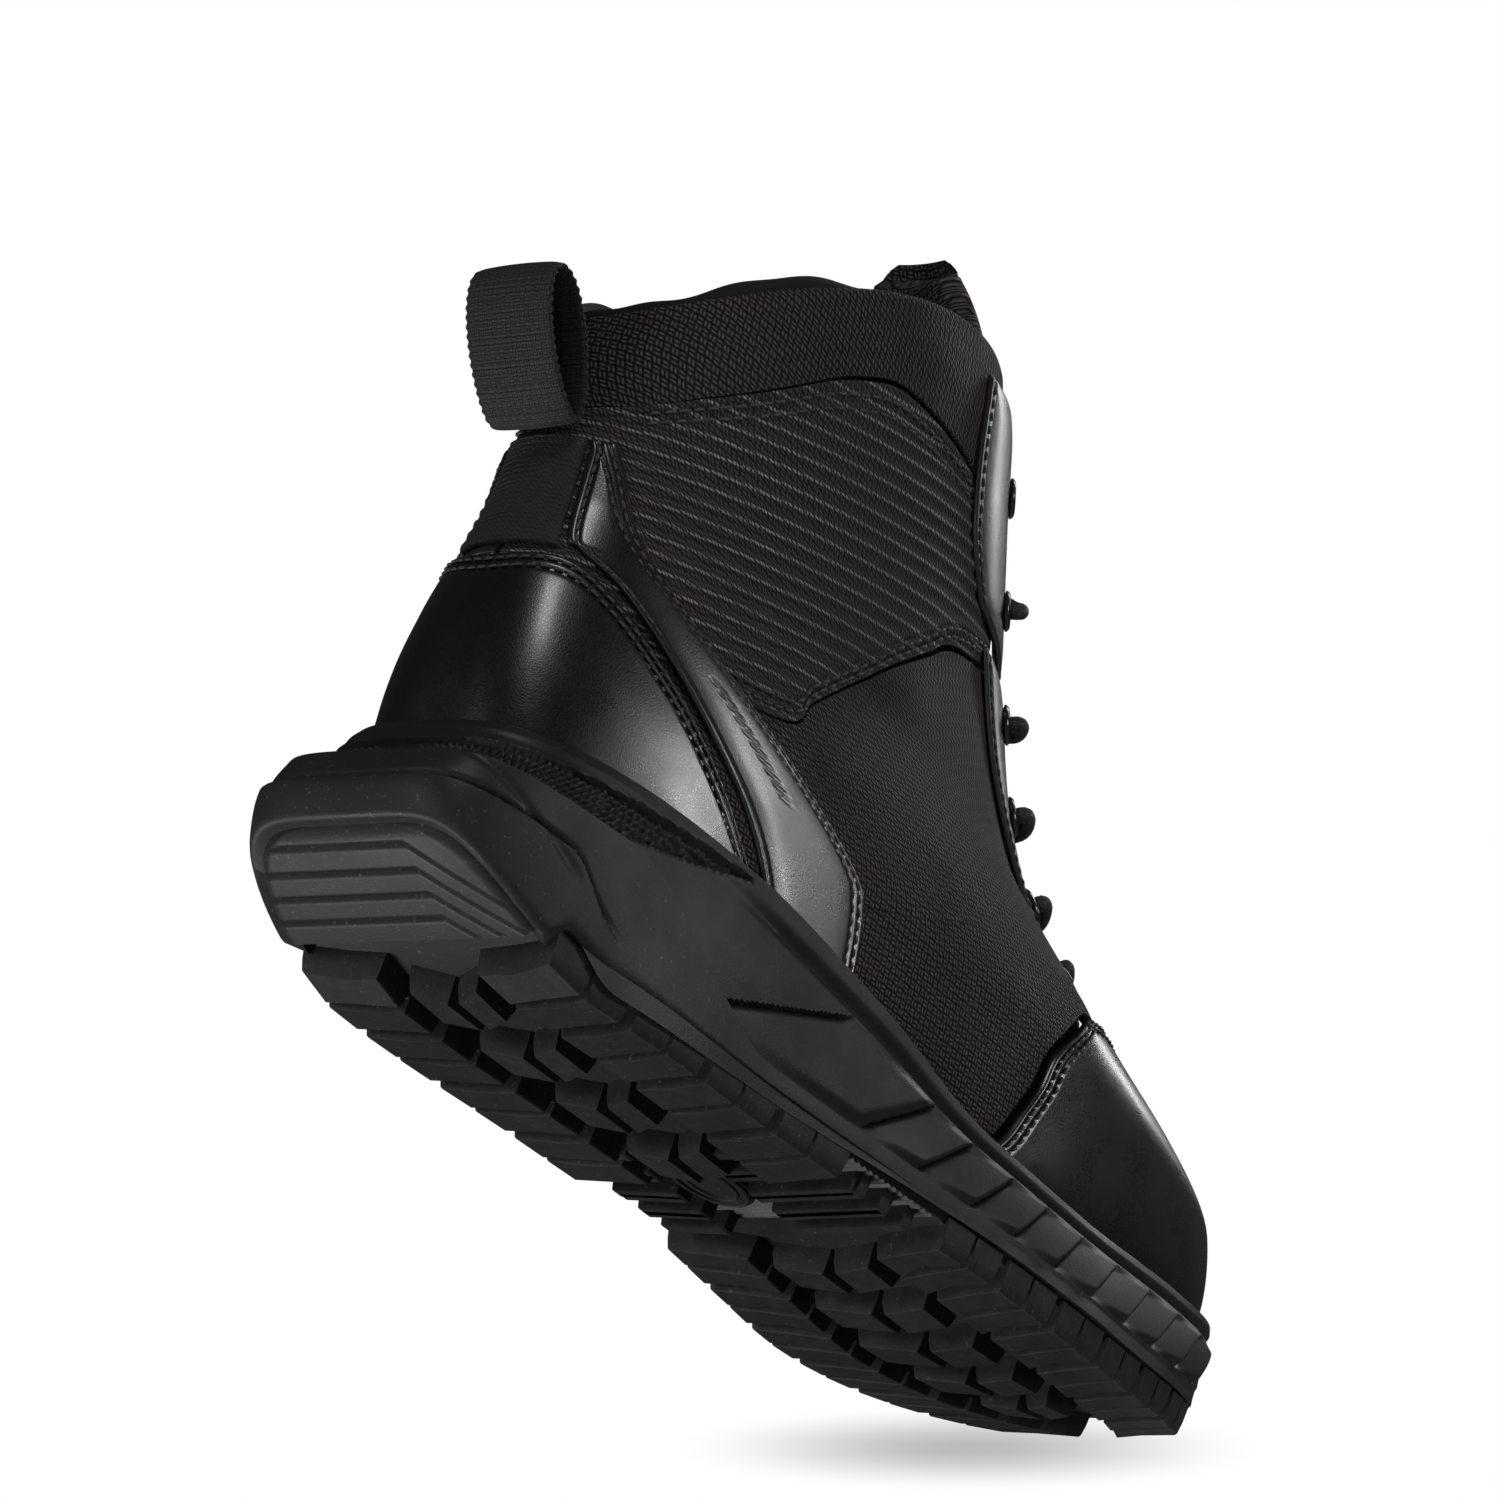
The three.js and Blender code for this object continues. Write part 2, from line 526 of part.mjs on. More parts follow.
const panels = {
  quarter: {
    bottom: line([g, lowEdge], [0.265 - g, lowEdge]),
    top: seam([g, 2.95], ...shift(ribSeam, 0, -gv)),
    left: line([g, lowEdge], [g, 2.95]),
    right: seam([0.265 - g, lowEdge], ...shift(toeSeamSide.slice(1), -2 * g, 0),
      [throatEdge, 3.7], [throatEdge, 5.3], [throatEdge, 6.95 - gv]),
  },
  ankle: {
    bottom: seam([g, 2.95 + 2 * gv], ...shift(ribSeam, 0, gv)),
    top: seam([g, 6.7], ...shift(collarSeam, 0, -gv)),
    left: line([g, 2.95 + 2 * gv], [g, 6.7]),
    right: line([throatEdge, 6.95 + gv], [throatEdge, 7.9 - gv]),
  },
  collar: {
    bottom: seam([g, 6.7 + 2 * gv], ...shift(collarSeam, 0, gv)),
    top: line([g, collarLevel], [throatEdge, collarLevel]),
    left: line([g, 6.7 + 2 * gv], [g, collarLevel]),
    right: line([throatEdge, 7.9 + gv], [throatEdge, collarLevel]),
  },
  toe: {
    bottom: line([0.265 + g, lowEdge], [0.735 - g, lowEdge]),
    top: seam(...shift(toeSeamTop, 2 * g, -gv).slice(0, 3), toeSeamTop[3],
      ...mirrored(shift(toeSeamTop, 2 * g, -gv).slice(0, 3))),
    left: seam([0.265 + g, lowEdge], ...shift(toeSeamSide.slice(1, 5), 2 * g, 0),
      [0.33 + 2 * g, 3.1 - gv]),
    right: seam([0.735 - g, lowEdge],
      ...shift(toeSeamSide.slice(1, 5), 2 * g, 0).map(([s, v]) => [1 - s, v]),
      [0.67 - 2 * g, 3.1 - gv]),
  },
  heelCover: {
    bottom: line([-0.165, 0.3], [0.165, 0.3]),
    top: seam(...heelCoverTop.map(([s, v]) => [-s, v]), ...heelCoverTop.slice(0, 5).reverse()),
    left: line([-0.165, 0.3], [-0.162, 1.3]),
    right: line([0.165, 0.3], [0.162, 1.3]),
  },
  stay: {
    bottom: line([0.168, 0.3], [0.206, 0.3]),
    top: line([strapHalf + 2 * g, 6.2], [0.063, 6.2]),
    left: seam([0.168, 0.3], [0.166, 1.35], [0.136, 2.36], [0.115, 2.98], [0.085, 3.62],
      [0.055, 4.0], [strapHalf + 3 * g, 4.3], [strapHalf + 2 * g, 6.2]),
    right: seam([0.206, 0.3], ...stayFront),
  },
  strap: {
    bottom: line([-strapHalf, strapBottom], [strapHalf, strapBottom]),
    top: line([-strapHalf, loopLevel - 0.1], [strapHalf, loopLevel - 0.1]),
    left: line([-strapHalf, strapBottom], [-strapHalf, loopLevel - 0.1]),
    right: line([strapHalf, strapBottom], [strapHalf, loopLevel - 0.1]),
  },
  eyestayUpper: {
    bottom: line([0.335, 7.2], [0.425, 7.15]),
    top: line([0.318, 8.72], [0.42, 8.78]),
    left: seam([0.335, 7.2], [0.318, 7.6], [0.315, 8.2], [0.318, 8.72]),
    right: seam([0.425, 7.15], [0.43, 7.8], [0.428, 8.4], [0.42, 8.78]),
  },
  eyestayLower: {
    bottom: line([0.4, 4.08], [0.455, 4.2]),
    top: line([0.345, 6.98], [0.43, 7.02]),
    left: seam([0.4, 4.08], [0.372, 4.5], [0.362, 5.3], [0.352, 6.2], [0.345, 6.98]),
    right: seam([0.455, 4.2], [0.45, 5.0], [0.442, 6.0], [0.43, 7.02]),
  },
  tongue: {
    bottom: line([0.41, 4.4], [0.59, 4.4]),
    top: line([0.405, 8.62], [0.595, 8.62]),
    left: line([0.41, 4.4], [0.405, 8.62]),
    right: line([0.59, 4.4], [0.595, 8.62]),
  },
  tongueTop: {
    bottom: line([0.405, 8.7], [0.595, 8.7]),
    top: seam([0.435, 9.8], [0.5, 9.98], [0.565, 9.8]),
    left: seam([0.405, 8.7], [0.408, 9.3], [0.435, 9.8]),
    right: seam([0.595, 8.7], [0.592, 9.3], [0.565, 9.8]),
  },
  throat: {
    bottom: line([0.395, 4.28], [0.605, 4.28]),
    top: line([0.39, collarLevel + 0.3], [0.61, collarLevel + 0.3]),
    left: line([0.395, 4.28], [0.39, collarLevel + 0.3]),
    right: line([0.605, 4.28], [0.61, collarLevel + 0.3]),
  },
};

// Stand a shape drawn along +Z on the last at (s, v), its +Z along the normal.
function standOn(geometry, s, v, d) {
  const turn = new THREE.Quaternion()
    .setFromUnitVectors(new THREE.Vector3(0, 0, 1), lastNormal(s, v));
  return geometry.applyQuaternion(turn).translate(...offsetPoint(s, v, d).toArray());
}

const flangeLift = 1.2;          // barrel length left proud, so the flange clears the curved leather
function eyeletRing(s, v) {
  const foot = leatherLayer[0] + 0.1;
  const shoulder = leatherLayer[1] - leatherLayer[0] + flangeLift;
  const top = shoulder + eyelet.flangeThickness;
  const profile = [[eyelet.bore, 0], [eyelet.barrel, 0], [eyelet.barrel, shoulder],
    [eyelet.flange, shoulder], [eyelet.flange - 0.5, top], [eyelet.bore, top], [eyelet.bore, 0]];
  const geometry = new THREE.LatheGeometry(profile.map(([r, h]) => new THREE.Vector2(r, h)), 10);
  geometry.rotateX(Math.PI / 2);
  return toManifold(standOn(geometry, s, v, foot));
}

function eyeletHole(s, v) {
  const geometry = new THREE.CylinderGeometry(eyelet.barrel + clearance,
    eyelet.barrel + clearance, 8, 10);
  geometry.rotateX(Math.PI / 2);
  return toManifold(standOn(geometry, s, v, leatherLayer[0]));
}

// The lace starts at an aglet, runs up the middle of the tongue under the crossings, laces down
// through five pairs of eyelets to the bottom bar and comes back the same way on the other side.
const lacedLevels = eyeletLevels.slice(1);
const laceSink = 0.9;            // under the leather it passes beneath
const underDepth = leatherLayer[0] - laceRadius - laceSink;
const centreDepth = 0;
const outside = leatherLayer[1] + flangeLift + eyelet.flangeThickness + laceRadius + 0.7;
function laceHalf(side) {
  const at = (s, v, d) => offsetPoint(side > 0 ? s : 1 - s, v, d);
  const centre = 0.5 - 0.014;
  const points = [at(centre - 0.005, 3.66, 5.2), at(centre - 0.005, 4.0, 4.4)];
  points.push(at(centre, 4.4, 1.2));
  for (const v of [5, 6, 7]) points.push(at(centre, v, centreDepth));
  points.push(at(centre - 0.004, lacedLevels[0] + 0.15, centreDepth));
  points.push(at(0.455, lacedLevels[0] + 0.3, 4.2), at(0.425, lacedLevels[0] + 0.15, outside));
  lacedLevels.forEach((v, k) => {
    const hole = (d) => (k % 2 ? at(1 - eyeletAround, v, d) : at(eyeletAround, v, d));
    const next = lacedLevels[k + 1];
    points.push(hole(outside), hole(4.2), hole(2.2), hole(underDepth + 0.3));
    if (next === undefined) return;
    const start = k % 2 ? 1 - 0.43 : 0.43;
    const over = side > 0 ? 3.6 : 6.9;
    const cross = v + (next - v) * 0.55;
    points.push(at(start, v + (next - v) * 0.15, underDepth), at(0.5, cross, over));
    points.push(at(1 - start, next - (next - v) * 0.14, outside));
  });
  return points;
}

function lacePath() {
  const first = laceHalf(1);
  const second = laceHalf(-1).reverse();
  const last = lacedLevels[lacedLevels.length - 1];
  const bar = [0.44, 0.5, 0.56].map((s) => offsetPoint(s, last - 0.05, underDepth));
  return new THREE.CatmullRomCurve3([...first, ...bar, ...second], false, "centripetal");
}

function lace(path) {
  const section = new THREE.Shape();
  section.absarc(0, 0, laceRadius, 0, 2 * Math.PI);
  const steps = Math.round(path.getLength() / 7);
  const settings = { steps, bevelEnabled: false, extrudePath: path, curveSegments: 3 };
  return toManifold(new THREE.ExtrudeGeometry(section, settings));
}

function agletAt(side) {
  const s = 0.5 - side * 0.026;
  const geometry = new THREE.CylinderGeometry(aglet.radius, aglet.radius, aglet.length, 10);
  const from = offsetPoint(s, 3.55, fabricLayer[1] + aglet.radius + 2.2);
  const direction = offsetPoint(s, 3.0, fabricLayer[1] + aglet.radius + 1.4).sub(from).normalize();
  geometry.applyQuaternion(new THREE.Quaternion()
    .setFromUnitVectors(new THREE.Vector3(0, 1, 0), direction));
  geometry.translate(...from.addScaledVector(direction, aglet.length / 2 + 1).toArray());
  return toManifold(geometry);
}

// The pull loop is a tall ring of webbing seen from the side, extruded across the heel.
function pullLoop() {
  const outline = new THREE.Shape();
  outline.absellipse(0, loop.height / 2, loop.depth / 2, loop.height / 2, 0, 2 * Math.PI);
  const hole = new THREE.Path();
  hole.absellipse(0, loop.height / 2, loop.depth / 2 - loop.thickness,
    loop.height / 2 - loop.thickness, 0, 2 * Math.PI);
  outline.holes.push(hole);
  const settings = { depth: loop.width, bevelEnabled: false, curveSegments: 18 };
  const geometry = new THREE.ExtrudeGeometry(outline, settings);
  geometry.translate(0, 0, -loop.width / 2);
  geometry.rotateX(Math.PI / 2);
  geometry.rotateY(THREE.MathUtils.degToRad(-loop.lean));
  return toManifold(geometry.translate(...loopSeat.toArray()));
}
const loopSeat = offsetPoint(0, loopLevel, leatherLayer[1] + loop.thickness);

// ---- materials ---------------------------------------------------------------------------------
const finish = (color, roughness, metalness = 0) =>
  new THREE.MeshStandardMaterial({ color, roughness, metalness });
const finishes = {
  rubber: finish(0x1d1e20, 0.75),
  foam: finish(0x212224, 0.7),
  leather: finish(0x0d0e11, 0.35),
  nylon: finish(0x1a1617, 0.85),
  mesh: finish(0x161415, 0.9),
  webbing: finish(0x0c0c0d, 0.8),
  enamel: finish(0x090909, 0.25, 0.6),
  steel: finish(0x8f9498, 0.35, 1),
  fibre: finish(0x6b5d4a, 0.9),
  padding: finish(0x2a2a2c, 0.9),
};

// ---- assembly ----------------------------------------------------------------------------------
const boot = new THREE.Group();
function addPiece(name, body, material) {
  const { vertProperties, triVerts } = body.getMesh();
  const geometry = new THREE.BufferGeometry();
  geometry.setAttribute("position", new THREE.BufferAttribute(vertProperties, 3));
  geometry.setIndex(new THREE.BufferAttribute(triVerts, 1));
  geometry.computeVertexNormals();
  const mesh = new THREE.Mesh(geometry, finishes[material]);
  mesh.name = name;
  boot.add(mesh);
}

addPiece("outsole", outsole(), "rubber");
addPiece("midsole", midsole(), "foam");
addPiece("shank", shankBar(), "steel");
addPiece("insole_board", insoleBoard(), "fibre");
addPiece("footbed", footbed(), "padding");

const capRear = lengthX(0.983) - toeCapDepth;
const far = 400;
const slice = (fromX, toX, topZ = far) => stiffeners.intersect(
  boxBetween(new THREE.Vector3(fromX, -far, -far), new THREE.Vector3(toX, far, topZ)));
addPiece("steel_toe_cap", slice(capRear, far), "steel");
addPiece("toe_cap_edging", slice(capRear - toeCapEdging, capRear - clearance), "padding");
const counterFront = lengthX(0.057) + counterLength;
addPiece("heel_counter", slice(-far, counterFront, counterTop), "fibre");
const paddingPatch = {
  bottom: line([-0.36, 6.9], [0.36, 6.9]),
  top: line([-0.36, 8.9], [0.36, 8.9]),
  left: line([-0.36, 6.9], [-0.36, 8.9]),
  right: line([0.36, 6.9], [0.36, 8.9]),
};
addPiece("collar_padding", panel(stiffeners, stiffenerLayer, paddingPatch, 12, 2), "padding");

const throatCut = (a, b, side) => {
  const at = patchAt(panels.throat, a, b);
  return offsetPoint(at.x, at.y, side ? 3 : -9);
};
const openLining = lining.subtract(slab(throatCut, 4, 8));
const vampSeamX = lengthX(vampSeamShare);
const collarSeamZ = collarSeamShare * shaftHeight;
const liningPart = (low, high) => openLining.intersect(
  boxBetween(new THREE.Vector3(...low), new THREE.Vector3(...high)));
const half = clearance / 2;
addPiece("lining_vamp", liningPart([vampSeamX + half, -far, -far],
  [far, far, collarSeamZ - half]), "mesh");
for (const [side, low, high] of [["lateral", -far, -half], ["medial", half, far]]) {
  addPiece(`lining_quarter_${side}`,
    liningPart([-far, low, -far], [vampSeamX - half, high, collarSeamZ - half]), "mesh");
  addPiece(`lining_collar_${side}`,
    liningPart([-far, low, collarSeamZ + half], [far, high, far]), "mesh");
}

addPiece("toe_leather", panel(fabric, fabricLayer, panels.toe, 12, 6), "leather");
addPiece("heel_cover", panel(leather, leatherLayer, panels.heelCover, 14, 3), "leather");
addPiece("back_strap", panel(leather, leatherLayer, panels.strap, 2, 3), "webbing");
addPiece("pull_loop", pullLoop(), "webbing");
addPiece("tongue", panel(tongueSheet, tongueLayer, panels.tongue, 2, 6), "nylon");
addPiece("tongue_top", panel(tongueSheet, tongueLayer, panels.tongueTop, 4, 3), "nylon");

for (const side of ["lateral", "medial"]) {
  const own = (patch) => (side === "lateral" ? patch : mirrorPatch(patch));
  const around = (s) => (side === "lateral" ? s : 1 - s);
  const holes = eyeletLevels.map((v) => eyeletHole(around(eyeletAround), v));
  const pierced = (body) => holes.reduce((rest, hole) => rest.subtract(hole), body);
  addPiece(`quarter_${side}`, panel(fabric, fabricLayer, own(panels.quarter), 9, 8), "nylon");
  addPiece(`ankle_panel_${side}`, panel(fabric, fabricLayer, own(panels.ankle), 9, 3), "nylon");
  addPiece(`collar_panel_${side}`, panel(fabric, fabricLayer, own(panels.collar), 9, 2), "nylon");
  addPiece(`side_stay_${side}`, panel(leather, leatherLayer, own(panels.stay), 1, 11), "leather");
  addPiece(`eyestay_upper_${side}`,
    pierced(panel(leather, leatherLayer, own(panels.eyestayUpper), 2, 4)), "leather");
  addPiece(`eyestay_lower_${side}`,
    pierced(panel(leather, leatherLayer, own(panels.eyestayLower), 2, 6)), "leather");
  eyeletLevels.forEach((v, k) => {
    addPiece(`eyelet_${side}_${k + 1}`, eyeletRing(around(eyeletAround), v), "enamel");
  });
}

addPiece("lace", lace(lacePath()), "webbing");
addPiece("aglet_a", agletAt(1), "enamel");
addPiece("aglet_b", agletAt(-1), "enamel");

// The origin is under the middle of the whole boot, on the ground.
const box = new THREE.Box3().setFromObject(boot, true);
const middle = box.getCenter(new THREE.Vector3());
boot.position.set(-middle.x, -middle.y, -box.min.z);

export default boot;
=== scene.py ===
import bpy
import numpy as np
from mathutils import Matrix, Vector


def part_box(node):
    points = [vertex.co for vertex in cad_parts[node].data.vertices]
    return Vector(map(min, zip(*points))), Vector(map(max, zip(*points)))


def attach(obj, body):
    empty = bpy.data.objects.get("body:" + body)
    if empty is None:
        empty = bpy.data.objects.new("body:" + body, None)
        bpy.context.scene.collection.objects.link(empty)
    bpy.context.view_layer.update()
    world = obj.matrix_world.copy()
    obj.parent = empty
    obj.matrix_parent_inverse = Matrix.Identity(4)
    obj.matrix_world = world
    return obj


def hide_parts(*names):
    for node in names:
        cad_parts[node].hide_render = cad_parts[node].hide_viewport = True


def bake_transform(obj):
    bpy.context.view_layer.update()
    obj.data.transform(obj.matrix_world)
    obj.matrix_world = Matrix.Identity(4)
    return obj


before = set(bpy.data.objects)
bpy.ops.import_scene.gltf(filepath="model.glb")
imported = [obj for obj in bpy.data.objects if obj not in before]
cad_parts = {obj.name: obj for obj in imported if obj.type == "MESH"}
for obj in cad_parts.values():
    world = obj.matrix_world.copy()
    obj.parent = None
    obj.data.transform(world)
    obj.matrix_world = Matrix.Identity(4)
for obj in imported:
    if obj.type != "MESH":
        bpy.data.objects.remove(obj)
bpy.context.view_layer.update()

# lengths below are millimetres on the last; the shank lies on the last's own middle line
mm = 0.001
shankMiddle = (np.array(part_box("shank")[0]) + np.array(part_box("shank")[1])) / 2
lastOrigin = np.array([shankMiddle[0] + 22 * mm, shankMiddle[1], 0.0])


def toFrame(points):
    # millimetres on the last to metres in the shared frame
    return np.asarray(points, float) * mm + lastOrigin


# ---- camera
camera = {
    "place": (-1.1351, -0.9591, -0.5231),  # from the last's origin, low behind the heel
    "right": (0.55362, -0.79379, 0.25180),
    "up": (-0.46477, -0.04361, 0.88436),
    "back": (-0.69101, -0.60663, -0.39307),
    "lens": 168.0,
}
cameraPlace = lastOrigin + np.array(camera["place"])
cameraAxes = np.array([camera["right"], camera["up"], camera["back"]])
cameraData = bpy.data.cameras.new("camera")
cameraData.lens = camera["lens"]
cameraData.sensor_width = 36.0
cameraObject = bpy.data.objects.new("camera", cameraData)
cameraTurn = Matrix(cameraAxes.T.tolist()).to_4x4()
cameraObject.matrix_world = Matrix.Translation(cameraPlace.tolist()) @ cameraTurn
bpy.context.scene.collection.objects.link(cameraObject)
bpy.context.scene.camera = cameraObject

# ---- the last, repeated from the CAD part
last = {
    "soleLength": 316.0,
    "ballHalf": 52.0,
    "shaftHeight": 200.0,
    "backX": (0.063, 0.057, 0.054, 0.056, 0.062, 0.070, 0.073, 0.073, 0.073, 0.073, 0.073),
    "backZ": (0.155, 0.250, 0.330, 0.410, 0.490, 0.560, 0.620, 0.680, 0.735, 0.785, 0.810),
    "frontX": (0.975, 0.988, 0.977, 0.893, 0.797, 0.709, 0.633, 0.576, 0.525, 0.475, 0.415),
    "frontZ": (0.165, 0.230, 0.300, 0.345, 0.375, 0.425, 0.535, 0.680, 0.840, 1.000, 1.140),
    "half": (0.74, 0.76, 0.76, 0.73, 0.68, 0.65, 0.65, 0.67, 0.72, 0.76, 0.76),
    "round": (0.0, 0.0, 0.1, 0.3, 0.55, 0.75, 0.85, 0.95, 1.0, 1.0, 1.0),
    "rise": (-0.045, -0.055, 0.0, 0.030, 0.050, 0.055, 0.045, 0.040, 0.055, 0.085, 0.085),
    "stations": (0, 0.1, 0.25, 0.42, 0.6, 0.78, 0.9, 1),
    "outer": (0.92, 0.94, 0.97, 0.97, 1.02, 1.08, 1.06, 1.02),
    "inner": (0.94, 0.94, 0.90, 0.82, 0.90, 1.02, 1.10, 1.10),
    "bluntStations": (0, 0.15, 0.5, 0.85, 1),
    "bluntness": (0.5, 0.6, 0.9, 0.78, 0.68),
}
sole = {
    "stations": (0, 0.08, 0.2, 0.36, 0.5, 0.62, 0.74, 0.86, 0.95, 1),
    "outer": (0.87, 0.88, 0.90, 0.86, 0.89, 0.97, 1.03, 1.02, 0.97, 0.94),
    "inner": (0.93, 0.90, 0.81, 0.67, 0.62, 0.73, 0.90, 0.99, 1.01, 1.0),
    "bluntness": (0.36, 0.55, 0.9, 0.8, 0.66),
    "lugHeight": 6.0,
    "toeSpring": 13.0,
    "heelBevel": 10.0,
    "rimTop": 12.0,
    "wrapTop": 38.0,
    "wrapShares": (0, 0.14, 0.26, 0.32, 1),
    "wrapRise": (1, 0.95, 0.25, 0, 0),
    "lipShares": (0, 0.13, 0.27, 0.4, 0.58, 0.7, 0.86, 1),
    "lipHeights": (0.245, 0.255, 0.24, 0.205, 0.155, 0.15, 0.175, 0.215),
}
layers = {"lining": (-4.7, -3.3), "fabric": (0.0, 1.2), "leather": (1.8, 3.2)}
heelX = -last["soleLength"] / 2


def through(xs, ys, x):
    # cubic through the knots, its slope the harmonic mean of its neighbours' and 0 at a peak
    xs, ys = np.asarray(xs, float), np.asarray(ys, float)
    at = np.clip(np.asarray(x, float), xs[0], xs[-1])
    i = np.clip(np.searchsorted(xs, at) - 1, 0, len(xs) - 2)
    slope = np.diff(ys) / np.diff(xs)
    product = slope[:-1] * slope[1:]
    total = slope[:-1] + slope[1:]
    inner = np.where(product > 0, 2 * product / np.where(total == 0, 1, total), 0)
    tangent = np.concatenate([slope[:1], inner, slope[-1:]])
    h = xs[i + 1] - xs[i]
    q = (at - xs[i]) / h
    value = ys[i] * (1 + 2 * q) * (1 - q) ** 2 + ys[i + 1] * q * q * (3 - 2 * q)
    return value + h * (tangent[i] * q * (1 - q) ** 2 - tangent[i + 1] * q * q * (1 - q))


def lengthX(share):
    return heelX + last["soleLength"] * np.asarray(share, float)


def shareOf(x):
    return (np.asarray(x, float) - heelX) / last["soleLength"]


def along(s):
    return (1 - np.cos(2 * np.pi * s)) / 2


def lastPoint(s, v):
    # each level is a ring: x and z run from its back to its front point by (1 - cos) / 2,
    # y is the side's sine to a power, times the ring's half width
    s, v = np.broadcast_arrays(np.asarray(s, float), np.asarray(v, float))
    levels = np.arange(len(last["half"]))
    at = {key: through(levels, last[key], v)
          for key in ("backX", "backZ", "frontX", "frontZ", "half", "round", "rise")}
    xi, side, rnd = along(s), np.sin(2 * np.pi * s), at["round"]
    foot = np.where(side > 0, through(last["stations"], last["outer"], xi),
                    through(last["stations"], last["inner"], xi))
    power = through(last["bluntStations"], last["bluntness"], xi) * (1 - rnd) + rnd
    half = last["ballHalf"] * at["half"] * (foot * (1 - rnd) + rnd)
    x = lengthX(at["backX"] + (at["frontX"] - at["backX"]) * xi)
    z = at["backZ"] + (at["frontZ"] - at["backZ"]) * xi + at["rise"] * 4 * xi * (1 - xi)
    y = -np.sign(side) * np.abs(side) ** power * half
    return np.stack([x, y, z * last["shaftHeight"]], axis=-1)


def unit(vectors):
    return vectors / np.maximum(np.linalg.norm(vectors, axis=-1, keepdims=True), 1e-9)


def lastNormal(s, v):
    # square to the last: the cross product of its two slopes
    s, v = np.asarray(s, float), np.asarray(v, float)
    around = lastPoint(s + 0.004, v) - lastPoint(s - 0.004, v)
    up = lastPoint(s, np.minimum(v + 0.05, 10)) - lastPoint(s, np.maximum(v - 0.05, 0))
    return unit(np.cross(around, up))


def offsetPoint(s, v, d):
    return lastPoint(s, v) + lastNormal(s, v) * np.asarray(d, float)[..., None]


def walked(points):
    # running length along a line of points
    steps = np.linalg.norm(np.diff(points, axis=0), axis=1)
    return np.concatenate([[0], np.cumsum(steps)])


def spline(points, count=240):
    # uniform Catmull-Rom curve through the points, its end points repeated
    p = np.asarray(points, float)
    t = np.linspace(0, len(p) - 1, count)
    i = np.minimum(t.astype(int), len(p) - 2)
    q = (t - i)[:, None]
    a, b, c, d = p[np.maximum(i - 1, 0)], p[i], p[i + 1], p[np.minimum(i + 2, len(p) - 1)]
    m0, m1 = (c - a) / 2, (d - b) / 2
    return b * (1 + 2 * q) * (1 - q) ** 2 + c * q * q * (3 - 2 * q) + m0 * q * (1 - q) ** 2 \
        - m1 * q * q * (1 - q)


def seam(points):
    # a line of (around, level) pairs with its running length on the last
    fine = spline(points)
    return fine, walked(lastPoint(fine[:, 0], fine[:, 1]))


def onSeam(line, share):
    fine, lengths = line
    at = np.asarray(share) * lengths[-1]
    return np.stack([np.interp(at, lengths, fine[:, k]) for k in range(2)], axis=-1)


# ---- meshes
def gridFaces(rows, cols, start=0, closedRows=False, closedCols=False):
    # quads of a grid numbered row by row, their normals along column x row direction
    r = np.arange(rows if closedRows else rows - 1)[:, None]
    c = np.arange(cols if closedCols else cols - 1)[None, :]
    r1, c1 = (r + 1) % rows, (c + 1) % cols
    quads = np.stack([r * cols + c, r * cols + c1, r1 * cols + c1, r1 * cols + c], axis=-1)
    return quads.reshape(-1, 4) + start


def bandFaces(a, b):
    # quads between two equal lines of vertex numbers, walked the same way
    return np.stack([a[:-1], a[1:], b[1:], b[:-1]], axis=-1)


def ringFaces(rows, cols):
    # a grid closed both ways: round the boot, and from its last row back to its first
    closing = gridFaces(2, cols, 0, closedCols=True)
    closing = np.where(closing >= cols, closing + (rows - 2) * cols, closing)
    return np.concatenate([gridFaces(rows, cols, closedCols=True), closing[:, ::-1]])


def slab(outer, inner):
    # closed slab between two grids of points, rows going up and columns going round
    rows, cols = outer.shape[:2]
    count = rows * cols
    ids = np.arange(count).reshape(rows, cols)
    faces = [gridFaces(rows, cols), gridFaces(rows, cols, count)[:, ::-1]]
    faces.append(bandFaces(ids[0] + count, ids[0]))
    faces.append(bandFaces(ids[-1], ids[-1] + count))
    faces.append(bandFaces(ids[:, 0], ids[:, 0] + count))
    faces.append(bandFaces(ids[:, -1] + count, ids[:, -1]))
    return np.concatenate([outer.reshape(-1, 3), inner.reshape(-1, 3)]), np.concatenate(faces)


def tube(path, radius, sides, normal=None):
    # a ring of points carried along a path, square to it, with a fan at each end
    ahead = unit(np.gradient(path, axis=0))
    guide = np.zeros_like(path) + (0.31, 0.22, 0.92) if normal is None else normal
    across = unit(np.cross(ahead, guide))
    over = np.cross(across, ahead)
    turn = np.linspace(0, 2 * np.pi, sides, endpoint=False)
    reach = np.broadcast_to(np.asarray(radius, float), (len(path), sides))[..., None]
    ring = across[:, None] * np.cos(turn)[None, :, None] + over[:, None] * np.sin(turn)[None, :, None]
    points = path[:, None] + ring * reach
    count = len(path) * sides
    faces = gridFaces(len(path), sides, closedCols=True)[:, ::-1]
    first, final = np.arange(sides), np.arange(sides) + count - sides
    ends = [[count, a, b] for a, b in zip(np.roll(first, -1), first)]
    ends += [[count + 1, a, b] for a, b in zip(final, np.roll(final, -1))]
    ends = [face[::-1] for face in ends]
    return np.concatenate([points.reshape(-1, 3), path[[0, -1]]]), faces.tolist() + ends


def joined(parts):
    # several (points, faces) shells as one
    points, faces, start = [], [], 0
    for shellPoints, shellFaces in parts:
        points.append(shellPoints)
        faces += [[k + start for k in face] for face in shellFaces]
        start += len(shellPoints)
    return np.concatenate(points), faces


